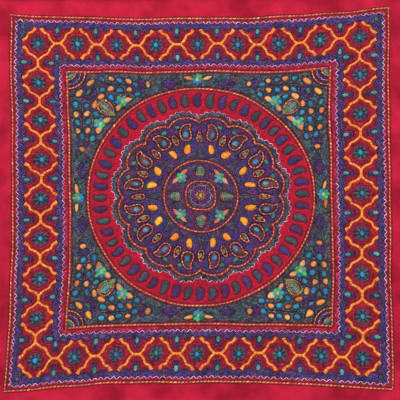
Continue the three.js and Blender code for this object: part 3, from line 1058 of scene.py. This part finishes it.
FIELD_FLOWER_WAY = (0.6, 0.8)
FIELD_PETALS = (  # colours and relative length of each petal
    (LEAF_GREEN, 1.2),
    (GREY_BLUE, 1.1),
    (LEAF_GREEN, 1.0),
    (LEAF_GREEN, 0.8),
    (LEAF_GREEN, 1.0),
    (FIELD_BLUE, 1.1),
)
RING_ROSETTE = {"length": 26.4, "width": 18.2, "widest": 0.38, "fullness": 0.95}
RING_ROSETTE_PLACE = (139.4, 139.4)
RING_INSIDE = {"length": 17.6, "width": 11.0, "widest": 0.4, "fullness": 0.95}
RING_FILL = {"length": 23.4, "width": 15.4, "widest": 0.4, "fullness": 0.95}
RING_HEART = {"length": 8.6, "width": 7.4}
RING_HEART_PLACE = (141.6, 141.6)
RING_BEAD = {"length": 3.0, "width": 4.4, "crown": 1.4, "closeness": 0.95}
SIDE_FLOWER = {"from": 2.2, "length": 6.6, "width": 6.6, "eye": 5.2}
SIDE_FLOWER_PLACE = (0, 183.7)
SIDE_PETALS = (
    (LEAF_GREEN, 1.0),
    (TEAL, 1.0),
    (TEAL, 1.0),
    (FIELD_BLUE, 1.0),
    (FIELD_BLUE, 1.0),
    (FIELD_BLUE, 1.0),
    (TEAL, 1.0),
    (LEAF_GREEN, 1.0),
)
SIDE_LEAF = {"length": 12.8, "width": 6.0, "widest": 0.36}
SIDE_LEAF_PLACE = (14.8, 186.2)
SIDE_LEAF_RISE = 0.14
ARC_MIDDLE = FIELD_CORD - 1
ARC_RADII = (24.6, 11.2)
ARC_POINTS = 40
ARC_BEAD = {"pitch": 4.6, "length": 4.4, "slant": 0.3, "width": 2.5, "crown": 1.4}
ARC_EDGING = {"offset": 2.0, "length": 4.0, "width": 1.7, "crown": 0.75, "closeness": 1.15}
SCALLOP_ARC = 18.4
SCALLOP = {"pitch": 5.6, "swing": 1.1, "width": 1.3, "crown": 1.3}


def mirrored(place, pointing, beside=True):
    """All like places of the field for one in its upper right corner: across both middle lines and, for one
    beside that corner's diagonal, across it too. Gives the middles, turns and flips of leaves that point
    along a direction."""
    middles = np.array([place, place[::-1]] if beside else [place], dtype=float)
    ways = np.array([pointing, pointing[::-1]] if beside else [pointing], dtype=float)
    hands = np.array([1, -1] if beside else [1])
    middles = (CORNERS[:, None, :] * middles[None]).reshape(-1, 2)
    ways = (CORNERS[:, None, :] * ways[None]).reshape(-1, 2)
    flips = (np.prod(CORNERS, axis=1)[:, None] * hands[None]).ravel()
    return middles, np.arctan2(ways[:, 1], ways[:, 0]) - np.pi / 2, flips


def flowers(middles, turns, flips, sizes, petals, eye):
    """Small flowers: an eye on a low round ground, and petals evenly round it, each of its own colour and
    relative length, the first one outwards along the flower's own turn and the others to its left, or to its
    right if its flip is -1."""
    across = 2 * sizes["from"] + FLOWER_GROUND * sizes["length"]
    tables = [
        leaves(middles, FLOWER_TURNS["eye"], eye, sizes["eye"], sizes["eye"]),
        leaves(middles, FLOWER_TURNS["ground"], petals[0][0], across, across, sizes=LOW_SATIN),
    ]
    for order, (colours, longer) in enumerate(petals):
        length = sizes["length"] * longer
        angle = turns + np.pi / 2 + flips * order * 2 * np.pi / len(petals)
        places = middles + heading(angle) * (sizes["from"] + length / 2)
        tables.append(
            leaves(places, angle - np.pi / 2, colours, length, sizes["width"], widest=FLOWER_WIDEST)
        )
    return tables


def leaf_outlines(
    middles, turns, palette, sizes, length, width, flips=1.0, strays=None, curl=0.0, widest=0.5, fullness=0.8
):
    """Running stitches round the edges of like leaves: up one side of the profile and down the other."""
    share = (1 - np.cos(np.linspace(0, np.pi, OUTLINE_POINTS))) / 2
    spine, across = leaf_spine(share, length, curl)
    reach = across * (width / 2 * leaf_profile(share, widest, fullness))[:, None]
    place, ahead = along_path(np.concatenate([spine + reach, (spine - reach)[::-1]]), sizes["length"])
    half = ahead * sizes["length"] * sizes["closeness"] / 2
    begin = placed(place - half, middles, turns, flips, strays)
    finish = placed(place + half, middles, turns, flips, strays)
    return stitches(begin, finish, sizes, dyed(palette, len(begin)))


def shaded_leaves(middles, turns, palette, length, width, widest):
    """Leaves with a low dark line close round each of them, like its shadow."""
    strays = by_hand(len(middles)) * SHADED_STRAY["form"]
    middles = middles + rng.normal(0, SHADED_STRAY["place"], middles.shape)
    turns = turns + rng.normal(0, SHADED_STRAY["turn"], len(middles))
    form = {"strays": strays, "widest": widest}
    edge = (length + SHADOW_LINE["around"], width + SHADOW_LINE["around"])
    return [
        leaves(middles, turns, palette, length, width, **form),
        leaf_outlines(middles, turns, LEAF_SHADOW, SHADOW_LINE, *edge, **form),
    ]


sprays = []
for pair, sprig_pair in enumerate(SPRIG_PAIRS):
    colours = FIELD_ORANGE if pair % 2 else FIELD_BLUE
    for side, place in zip((-1, 1), sprig_pair):
        middles, turns, _ = mirrored(place, (SPRIG_SPREAD * side, 1))
        sprays += shaded_leaves(middles, turns, colours, **SPRIG_LEAF)
for leaf_table, beside in ((FIELD_LEAVES, True), (DIAGONAL_LEAVES, False)):
    for colours, place, pointing, length, width, widest in leaf_table:
        middles, turns, _ = mirrored(place, pointing, beside)
        sprays += shaded_leaves(middles, turns, colours, length, width, widest)
sprays += flowers(*mirrored(FIELD_FLOWER, FIELD_FLOWER_WAY), FLOWER, FIELD_PETALS, PEACH)
ring_middles, ring_turns, _ = mirrored(RING_ROSETTE_PLACE, INWARDS, beside=False)
sprays.append(leaf_outlines(ring_middles, ring_turns, BROWN_ORANGE, RING_BEAD, **RING_ROSETTE))
sprays.append(leaf_outlines(ring_middles, ring_turns, OLIVE_BROWN, RING_BEAD, **RING_INSIDE))
heart_middles, heart_turns, _ = mirrored(RING_HEART_PLACE, OUTWARDS, beside=False)
sprays.append(leaves(heart_middles, heart_turns, GREY_BLUE, **RING_HEART))
sprays.append(leaves(ring_middles, ring_turns, OLIVE_BROWN, sizes=LOW_SATIN, **RING_FILL))
side_middles = on_four_sides(np.array([SIDE_FLOWER_PLACE]))
sprays += flowers(side_middles, quarter_turns, 1, SIDE_FLOWER, SIDE_PETALS, PEACH)
for side in (-1, 1):
    side_leaves = on_four_sides(np.array([SIDE_LEAF_PLACE]) * (side, 1))
    side_turns = quarter_turns - side * (np.pi / 2 - SIDE_LEAF_RISE)
    sprays += shaded_leaves(side_leaves, side_turns, FIELD_ORANGE, **SIDE_LEAF)
sew("field_sprays", sprays, thick_yarn)

stems = []
arcs = []
scalloped = []
sprig_stem = SPRIG_PAIRS[:STEM_PAIRS].mean(axis=1)
quarter_arc = heading(np.linspace(0, np.pi / 2, ARC_POINTS))
for corner in CORNERS:
    stems.append(running(sprig_stem * corner, 0, STEM, STEM_DARK))
    stems.append(running(sprig_stem[:, ::-1] * corner, 0, STEM, STEM_DARK))
    for radius in ARC_RADII:
        arc = (ARC_MIDDLE - radius * quarter_arc) * corner
        arcs += corded(arc, ARC_BEAD, CORD_ORANGE, ARC_EDGING, CORD_EDGING)
    scalloped.append(zigzag((ARC_MIDDLE - SCALLOP_ARC * quarter_arc) * corner, SCALLOP, DULL_LILAC)[:-1])
sew("corner_arcs", arcs, thick_yarn)
sew("field_lines", stems + scalloped, fine_yarn)


# Field ground: slate and teal wool filling round the sprays, in rows along the nearest side, with purple
# inside the corner arcs and in patches beside the sprays.
CORD_HALF = 2.4
FIELD_UNDERLAY_ROWS = (112, FIELD_CORD - 2)
FIELD_ROWS = (112, FIELD_CORD - 3)
PATCH_ROWS = (152, FIELD_CORD - 3)
PATCHES = (  # place along the side and out from the middle, half the length and half the width of a patch
    (164.6, 164.6, 12.6, 12.6),
    (83.6, 176.4, 8.0, 9.0),
    (42.0, 177.2, 12.6, 7.4),
)
PATCH_POWER = 1.4
CORNER_PURPLE = ((0.5, 78, 50, 104), (0.3, 96, 46, 94), (0.2, 62, 60, 98))
FIELD_SLATE = (
    (0.36, 68, 90, 98),
    (0.22, 86, 88, 92),
    (0.16, 62, 62, 68),
    (0.16, 82, 60, 96),
    (0.1, 108, 84, 80),
)


def in_purple(u, v):
    """Inside the outer arc of one of the field's corners, or in one of the patches, whose power makes them
    something between a diamond and an ellipse."""
    inside = np.hypot(FIELD_CORD - np.abs(u), FIELD_CORD - np.abs(v)) < ARC_RADII[0]
    across, along = square_fold(u, v)
    for patch_along, patch_across, half_length, half_width in PATCHES:
        share = (np.abs(along - patch_along) / half_length) ** PATCH_POWER
        share = share + (np.abs(across - patch_across) / half_width) ** PATCH_POWER
        inside = inside | (share < 1)
    return inside


def in_spandrel(u, v):
    """Between the square cord and the round one."""
    return (square_fold(u, v)[0] < FIELD_CORD - CORD_HALF) & (np.hypot(u, v) > ROUND_CORD + CORD_HALF)


# A sparse near-black underlay under the ground is painted shade for the gaps between its stitches.
field_shade_underlay = side_rows(in_spandrel, FIELD_UNDERLAY_ROWS, GAP_SHADE_DARK, UNDERLAY)
sew_filling("field_shade_underlay", field_shade_underlay, hidden=True)
corner_grounds = side_rows(in_purple, PATCH_ROWS, CORNER_PURPLE)
field_ground = side_rows(in_spandrel, FIELD_ROWS, FIELD_SLATE)
sew_filling("field_ground", corner_grounds + field_ground)


# Medallion edge: two scalloped lines of sixteen lobes, an orange cord inside and a pale zigzag outside,
# with a slate band of filling between them, all in wool.
LOBES = 16
LOBE_CURVE = 0.6
SCALLOP_CORD = {"notch": 114.8, "rise": 10.2}
SCALLOP_FRILL = {"notch": 124.6, "rise": 10.4}
BAND_ROWS = (112, 140)
FRILL = {"pitch": 9.0, "swing": 2.1, "width": 1.45, "crown": 1.35}
FRILL_POINTS = 6
FRILL_START = 0.017
WIDEST_TURN = 0.7
# Its edge is painted shade along the sides of the beads.
MEDALLION_BEAD = {"pitch": 5.45, "length": 5.3, "slant": 0.35, "width": 2.9, "crown": 1.5, "edge": 0.75}
MEDALLION_EDGING = {"offset": 2.1, "length": 4.4, "width": 2.0, "crown": 0.8, "closeness": 1.15}
FRILL_PINK = ((0.5, 226, 162, 192), (0.3, 206, 132, 170), (0.2, 232, 184, 206))
SCALLOP_ORANGE = ((0.45, 208, 106, 74), (0.3, 216, 126, 92), (0.25, 194, 90, 68))
CORD_MAROON = ((0.6, 130, 42, 46), (0.4, 106, 38, 52))
SLATE_BAND = ((0.35, 84, 88, 96), (0.25, 70, 90, 96), (0.2, 104, 78, 94), (0.2, 62, 60, 68))


def lobed(line, turn):
    """Radius of a scalloped line: it rises from a notch into each lobe as a power of half a sine wave."""
    return line["notch"] + line["rise"] * np.abs(np.sin(LOBES / 2 * turn)) ** LOBE_CURVE


def polar_rows(region, first_and_last, palette, sizes=FILL, tones=FILL_TONES):
    """Filling for a round band, in rows along circles."""

    def place(radius, turn):
        return radius * np.cos(turn), radius * np.sin(turn)

    inner, outer = first_and_last
    rows = np.arange(inner, outer, sizes["pitch"])
    along = np.arange(0, 2 * np.pi + MITRE / outer, sizes["step"] / outer)
    return filled(region, place, rows, along, np.positive, WIDEST_TURN, palette, sizes, tones)


def between(inner, outer):
    """Test for places between two scalloped lines, or circles where a line is a number."""

    def test(u, v):
        turn = np.arctan2(v, u)
        low, high = (line if np.isscalar(line) else lobed(line, turn) for line in (inner, outer))
        radius = np.hypot(u, v)
        return (radius > low) & (radius < high)

    return test


whole_turn = np.linspace(0, 2 * np.pi, ROUND_POINTS)
scallop_line = round_path(lobed(SCALLOP_CORD, whole_turn))
frill_line = round_path(lobed(SCALLOP_FRILL, whole_turn + FRILL_START), FRILL_START)
scallop_cord = corded(scallop_line, MEDALLION_BEAD, SCALLOP_ORANGE, MEDALLION_EDGING, CORD_MAROON)
sew("medallion_cord", scallop_cord, thick_yarn)
frill = zigzag(frill_line, FRILL, FRILL_PINK, multiple=2 * FRILL_POINTS * LOBES)
sew("medallion_frill", [frill], fine_yarn)
slate_band = polar_rows(between(SCALLOP_CORD, SCALLOP_FRILL), BAND_ROWS, SLATE_BAND)
sew_filling("medallion_band", [slate_band])


# Paisley ring: a scarlet wool ground between the round cord and the medallion, with 52 dark paisleys in
# satin stitch, by turns slate and purple, each with its tip outwards and to the right, and with a dark
# outline.
PAISLEYS = 52
PAISLEY = {"length": 20.6, "width": 10.8, "widest": 0.36, "fullness": 1.3}
PAISLEY_EDGE = {"length": 22.4, "width": 12.2, "widest": 0.36, "fullness": 1.25}
PAISLEY_CURLS = (1.8, 2.2, 2.0, 1.6)
PAISLEY_RADIUS = 152.4
PAISLEY_SHIFT = 0.01
PAISLEY_LEAN = 0.24
OUTLINE = {"length": 3.4, "width": 1.9, "crown": 1.05, "closeness": 1.15}
RING_EDGE = ROUND_CORD - 3
RING_ROWS = (124, ROUND_CORD)
SCARLET_FILL = {**FILL, "crown": 0.8}
SCARLET_TONES = {"patch": 0.12, "stitch": 0.07}
PAISLEY_PURPLE = ((0.4, 79, 54, 107), (0.3, 69, 54, 105), (0.3, 86, 50, 98))
PAISLEY_GREY = ((0.4, 70, 79, 88), (0.3, 67, 74, 88), (0.3, 77, 79, 86))
DARK_OUTLINE = ((0.6, 84, 26, 48), (0.4, 60, 28, 56))
SCARLET = ((0.5, 184, 19, 49), (0.3, 176, 18, 47), (0.2, 184, 21, 55))

paisley_turn = np.arange(PAISLEYS) * 2 * np.pi / PAISLEYS
paisley_middles = PAISLEY_RADIUS * heading(paisley_turn + PAISLEY_SHIFT)
ring_paisleys = []
ring_outlines = []
for first, curl in enumerate(PAISLEY_CURLS):
    middles = paisley_middles[first :: len(PAISLEY_CURLS)]
    turns = paisley_turn[first :: len(PAISLEY_CURLS)] - np.pi / 2 + PAISLEY_LEAN
    colours = PAISLEY_PURPLE if first % 2 else PAISLEY_GREY
    form = {"strays": by_hand(len(middles)), "curl": curl}
    ring_paisleys.append(leaves(middles, turns, colours, **form, **PAISLEY))
    ring_outlines.append(leaf_outlines(middles, turns, DARK_OUTLINE, OUTLINE, **form, **PAISLEY_EDGE))
sew("ring_paisleys", ring_paisleys, thick_yarn)
sew("ring_outlines", ring_outlines, fine_yarn)
in_ring = between(SCALLOP_FRILL, RING_EDGE)
ring_scarlet = polar_rows(in_ring, RING_ROWS, SCARLET, SCARLET_FILL, SCARLET_TONES)
sew_filling("ring_scarlet", [ring_scarlet])


# Medallion motifs: in each lobe a paisley outlined in orange wool with a pale blue dot, between the lobes
# orange ovals with a green heart, and inside them solid yellow paisleys in satin stitch, all set alike to
# both sides of eight spokes. A motif's place is its radius and its angle from a spoke.
SPOKES = 8
MIDDLE = np.zeros((1, 2))
HOOKED = {"length": 29.6, "width": 16.6, "curl": 1.8, "widest": 0.32, "fullness": 1.3}
HOOKED_FILL = {"length": 25.4, "width": 13.0, "curl": 1.65, "widest": 0.33, "fullness": 1.3}
HOOKED_PLACE = (103.4, 0.2)
HOOKED_LEAN = 0.02
HOOKED_HEART = {"length": 8.0, "width": 8.8}
HOOKED_HEART_PLACE = (98.6, 0.211)
GREEN_DOT = {"length": 7.0, "width": 7.2}
GREEN_DOT_PLACE = (111.8, 0.29)
OVAL = {"length": 16.8, "width": 7.6, "widest": 0.36, "fullness": 1.1}
OVAL_RADIUS = 94.0
OVAL_HEART = {"length": 7.2, "width": 5.6}
OVAL_HEART_RADIUS = 92.8
YELLOW_PAISLEY = {"length": 14.8, "width": 11.0, "curl": 2.0, "widest": 0.42, "fullness": 0.8}
YELLOW_PLACE = (75.8, 0.243)
ORANGE_OUTLINE = {"length": 4.8, "width": 2.7, "crown": 1.45, "closeness": 1.0}
OUTLINE_EDGING = {"length": 4.8, "width": 4.8, "crown": 0.75, "closeness": 1.15}
HOOKED_INSIDE = ((0.4, 92, 62, 80), (0.35, 80, 68, 80), (0.25, 108, 64, 62))
PALE_BLUE = ((0.5, 81, 131, 163), (0.3, 104, 134, 169), (0.2, 75, 140, 154))
DULL_GREEN = ((0.5, 62, 136, 113), (0.5, 75, 130, 104))
OLIVE_GREEN = ((0.5, 122, 126, 78), (0.5, 108, 133, 90))
SOLID_YELLOW = ((0.6, 255, 152, 48), (0.4, 255, 160, 54))


def spoked(place):
    """Sixteen places at a radius and an angle to both sides of each spoke, with outward turns, and flips by
    side."""
    radius, spread = place
    side = np.tile([1, -1], SPOKES)
    angle = np.repeat(np.arange(SPOKES), 2) * 2 * np.pi / SPOKES + side * spread
    return radius * heading(angle), angle - np.pi / 2, side


def edged_outlines(middles, turns, **form):
    """Outlines of like leaves in orange, over a broader low line in maroon."""
    lines = ((SCALLOP_ORANGE, ORANGE_OUTLINE), (CORD_MAROON, OUTLINE_EDGING))
    return [leaf_outlines(middles, turns, colours, sizes, **form) for colours, sizes in lines]


hooked_middles, hooked_turns, hooked_flips = spoked(HOOKED_PLACE)
hooked_turns = hooked_turns - HOOKED_LEAN * hooked_flips
hooked_strays = by_hand(len(hooked_middles)) / 2
motifs = edged_outlines(hooked_middles, hooked_turns, flips=hooked_flips, strays=hooked_strays, **HOOKED)
oval_middles, oval_turns = ring_of(MIDDLE, 2 * SPOKES, OVAL_RADIUS)
motifs += edged_outlines(oval_middles, oval_turns, strays=by_hand(len(oval_middles)), **OVAL)
oval_hearts = oval_middles * (OVAL_HEART_RADIUS / OVAL_RADIUS)
heart_middles, heart_turns, _ = spoked(HOOKED_HEART_PLACE)
dot_middles, dot_turns, _ = spoked(GREEN_DOT_PLACE)
yellow_middles, yellow_turns, yellow_flips = spoked(YELLOW_PLACE)
motifs += [
    leaves(hooked_middles, hooked_turns, HOOKED_INSIDE, flips=hooked_flips, sizes=LOW_SATIN, **HOOKED_FILL),
    leaves(heart_middles, heart_turns, PALE_BLUE, **HOOKED_HEART),
    leaves(dot_middles, dot_turns + np.pi / 2, DULL_GREEN, **GREEN_DOT),
    leaves(oval_hearts, oval_turns, OLIVE_GREEN, **OVAL_HEART),
    leaves(yellow_middles, yellow_turns, SOLID_YELLOW, flips=yellow_flips, **YELLOW_PAISLEY),
]
sew("medallion_motifs", motifs, thick_yarn)


# Central disc: a small round of its own inside a red-orange wool cord, with four flowers on the diagonals,
# four green drops between them, and in the middle a scalloped pale ring, a ring of red beads and a green
# heart, in satin and running stitch.
DISC_CORD = 55.4
EYE_CORD = 23.0
EYE_SQUARENESS = 1.1
DISC_FLOWER = {"from": 1.3, "length": 6.6, "width": 7.4, "eye": 4.8}
DISC_FLOWER_RADIUS = 41.2
DISC_PETALS = (
    (LEAF_GREEN, 0.95),
    (LEAF_GREEN, 0.85),
    (GREY_BLUE, 1.1),
    (TURQUOISE, 1.35),
    (GREY_BLUE, 1.1),
    (LEAF_GREEN, 0.85),
)
DISC_LEAF = {"length": 10.4, "width": 8.0, "widest": 0.3, "fullness": 1.0}
DISC_LEAF_PLACE = (9.9, 43.6)
DISC_DROP = {"length": 19.4, "width": 17.2, "widest": 0.34, "fullness": 0.85}
DISC_DROP_FILL = {"length": 17.4, "width": 15.6, "widest": 0.34, "fullness": 0.85}
DISC_DROP_HEART = {"length": 10.6, "width": 9.8}
DISC_DROP_RADIUS = 39.4
DROP_OUTLINE = {"length": 3.4, "width": 1.8, "crown": 0.95, "closeness": 1.1}
EYE_SCALLOP = {"pitch": 8.4, "swing": 1.5, "width": 1.3, "crown": 1.3}
EYE_SCALLOP_RADIUS = 15.6
EYE_SPOKES = {"count": 11, "inner": 8.6, "outer": 14.0, "width": 1.3, "crown": 1.25}
EYE_BEADS = 10
EYE_BEAD = {"length": 3.3, "width": 3.3}
EYE_BEAD_RADIUS = 5.6
HEART = {"length": 6.0, "width": 6.0}
CORD_RED = ((0.5, 206, 104, 80), (0.3, 216, 126, 94), (0.2, 190, 86, 76))
DISC_ORANGE = ((0.6, 212, 144, 104), (0.4, 204, 118, 94))
DROP_RIM = ((0.5, 118, 58, 84), (0.5, 104, 62, 82))
DROP_OLIVE = ((0.5, 148, 118, 94), (0.5, 128, 118, 92))
DROP_GREEN = ((0.5, 84, 134, 114), (0.5, 98, 132, 104))
SPOKE_PINK = ((0.5, 168, 72, 112), (0.5, 148, 84, 128))
HEART_GREEN = ((1.0, 116, 176, 74),)
BEAD_RED = ((0.6, 226, 108, 80), (0.4, 210, 90, 80))

eye_line = round_path(EYE_CORD - EYE_SQUARENESS * np.cos(4 * whole_turn))
disc_motifs = []
for line in (round_path(DISC_CORD), eye_line):
    disc_motifs += corded(line, MEDALLION_BEAD, CORD_RED, MEDALLION_EDGING, CORD_MAROON)
diagonal_middles, diagonal_turns = ring_of(MIDDLE, 4, DISC_FLOWER_RADIUS, np.pi / 4)
axis_middles, axis_turns = ring_of(MIDDLE, 4, DISC_DROP_RADIUS)
disc_motifs += flowers(diagonal_middles, diagonal_turns, 1, DISC_FLOWER, DISC_PETALS, PEACH)
for side in (-1, 1):
    disc_leaf = np.array([DISC_LEAF_PLACE]) * (side, 1)
    disc_leaves = placed(disc_leaf, np.repeat(MIDDLE, 4, axis=0), diagonal_turns)
    disc_motifs.append(leaves(disc_leaves, diagonal_turns - side * np.pi / 2, DISC_ORANGE, **DISC_LEAF))
disc_motifs.append(leaves(axis_middles, axis_turns, DROP_GREEN, **DISC_DROP_HEART))
drop_form = {"strays": by_hand(len(axis_middles)) / 2}
disc_motifs += [
    leaves(axis_middles, axis_turns, DROP_OLIVE, sizes=LOW_SATIN, **drop_form, **DISC_DROP_FILL),
    leaf_outlines(axis_middles, axis_turns, DROP_RIM, DROP_OUTLINE, **drop_form, **DISC_DROP),
    leaves(*ring_of(MIDDLE, EYE_BEADS, EYE_BEAD_RADIUS), BEAD_RED, **EYE_BEAD),
    leaves(MIDDLE, 0.0, HEART_GREEN, **HEART),
]
sew("disc_motifs", disc_motifs, thick_yarn)
spoke_ends = [ring_of(MIDDLE, EYE_SPOKES["count"], EYE_SPOKES[end])[0] for end in ("inner", "outer")]
eye_lines = [
    zigzag(round_path(EYE_SCALLOP_RADIUS), EYE_SCALLOP, DULL_LILAC),
    stitches(*spoke_ends, EYE_SPOKES, dyed(SPOKE_PINK, EYE_SPOKES["count"])),
]
sew("disc_scallop", eye_lines, fine_yarn)


# Medallion ground: purple and navy wool filling in circles round everything in the medallion and its disc.
# A slate rim with humps on and between the spokes lies round the disc, and lilac and purple fill its eye.
MEDALLION_UNDERLAY_EDGE = 1.0
MEDALLION_UNDERLAY_ROWS = (4.0, 140)
SLATE_ROWS = (DISC_CORD, 86)
MEDALLION_ROWS = (DISC_CORD, 128)
EYE_BAND = (16.6, 20.8)
HEART_EDGE = 2.0
HEART_ROW = 2.4
SLATE_RIM = 3.4
SLATE_HUMPS = (  # offset from a spoke as a share of their spacing, height over the rim and half width
    (0, 22.0, 5.0),
    (0.5, 7.0, 8.0),
)
MEDALLION_TONES = {"patch": 0.2, "stitch": 0.11}
MEDALLION_SLATE = ((0.4, 80, 78, 90), (0.3, 90, 68, 92), (0.3, 68, 66, 86))
MEDALLION_PURPLE = (
    (0.36, 84, 52, 106),
    (0.28, 67, 56, 114),
    (0.16, 102, 48, 98),
    (0.08, 76, 78, 94),
    (0.12, 62, 50, 78),
)
DISC_PURPLE = (
    (0.34, 88, 52, 102),
    (0.22, 70, 60, 106),
    (0.2, 108, 48, 92),
    (0.12, 80, 76, 86),
    (0.12, 52, 42, 64),
)
EYE_LILAC = ((0.4, 96, 88, 106), (0.3, 84, 80, 100), (0.3, 108, 80, 110))
EYE_PURPLE = ((0.4, 96, 64, 116), (0.3, 84, 66, 120), (0.3, 108, 58, 108))


def in_slate_patch(u, v):
    """Inside the slate round the disc: a narrow rim whose edge rises in a bell curve on each spoke and in a
    lower one between two spokes."""
    radius = np.hypot(u, v)
    turn = np.arctan2(v, u) * SPOKES / (2 * np.pi)
    edge = DISC_CORD + SLATE_RIM
    for offset, height, half in SLATE_HUMPS:
        aside = (turn + offset - np.round(turn + offset)) * 2 * np.pi / SPOKES * radius
        edge = edge + height * np.exp(-((aside / half) ** 2))
    return (radius > DISC_CORD) & (radius < edge)


# A sparse near-black underlay under the medallion and disc is painted shade for the gaps between stitches.
in_all = between(MEDALLION_UNDERLAY_EDGE, SCALLOP_FRILL)
medallion_shade_underlay = polar_rows(in_all, MEDALLION_UNDERLAY_ROWS, GAP_SHADE_DARK, UNDERLAY)
sew_filling("medallion_shade_underlay", [medallion_shade_underlay], hidden=True)
slate_patches = polar_rows(in_slate_patch, SLATE_ROWS, MEDALLION_SLATE)
cover(slate_patches)
in_medallion = between(DISC_CORD, SCALLOP_CORD)
medallion_ground = polar_rows(in_medallion, MEDALLION_ROWS, MEDALLION_PURPLE, tones=MEDALLION_TONES)
sew_filling("medallion_ground", [slate_patches, medallion_ground])
eye_band = polar_rows(between(*EYE_BAND), EYE_BAND, EYE_LILAC)
cover(eye_band)
eye_ground = polar_rows(between(HEART_EDGE, EYE_CORD), (HEART_ROW, EYE_CORD), EYE_PURPLE)
cover(eye_ground)
in_disc = between(HEART_EDGE, DISC_CORD)
disc_ground = polar_rows(in_disc, (HEART_ROW, DISC_CORD), DISC_PURPLE, tones=MEDALLION_TONES)
sew_filling("disc_ground", [eye_band, eye_ground, disc_ground])


# Stage: a plain pale floor, a broad soft light from the upper left with a weaker one opposite, and a camera
# straight above the cloth, which sees 600 mm of it as the picture does. Sizes here are in metres, but for
# the lens and its sensor, which are in millimetres.
VIEW_WIDTH = 600 * MM
VIEW_MIDDLE = (-0.4 * MM, 0.2 * MM)
VIEW_HEIGHT = 2 * MM
LENS = 85
SENSOR = 36
FLOOR_HALF = 3.0
FLOOR_DROP = (0, 0, 0.0004)
FLOOR_GREY = (226, 224, 220)
LIGHTS = (  # name, place, power and side of a square light
    ("key_light", (-0.6, 2.0, 2.5), 136, 1.4),
    ("fill_light", (1.2, -1.6, 2.4), 38, 2.4),
)
SKY_STRENGTH = 0.3

floor_points = np.array([(-1, -1, 0), (1, -1, 0), (1, 1, 0), (-1, 1, 0)]) * FLOOR_HALF - FLOOR_DROP
floor = mesh_piece("floor", floor_points, np.array([[0, 1, 2, 3]]))
floor_paint, _, floor_shader = shade("floor_paint", roughness=0.8, sheen=0.0)
floor_shader.inputs["Base Color"].default_value = (*linear(FLOOR_GREY), 1)
floor.data.materials.append(floor_paint)

for light_name, place, power, side in LIGHTS:
    lamp = bpy.data.lights.new(light_name, "AREA")
    lamp.energy = power
    lamp.size = side
    light = bpy.data.objects.new(light_name, lamp)
    light.location = place
    light.rotation_euler = (-light.location).to_track_quat("-Z", "Y").to_euler()
    bpy.context.collection.objects.link(light)
world = bpy.data.worlds.new("studio")
world.use_nodes = True
sky = world.node_tree.nodes["Background"]
sky.inputs["Color"].default_value = (1, 1, 1, 1)
sky.inputs["Strength"].default_value = SKY_STRENGTH
bpy.context.scene.world = world
bpy.context.scene.view_settings.view_transform = "Standard"

camera_data = bpy.data.cameras.new("camera")
camera_data.lens = LENS
camera_data.sensor_width = SENSOR
camera = bpy.data.objects.new("camera", camera_data)
camera.location = (*VIEW_MIDDLE, VIEW_WIDTH * LENS / SENSOR + VIEW_HEIGHT)
bpy.context.collection.objects.link(camera)
bpy.context.scene.camera = camera
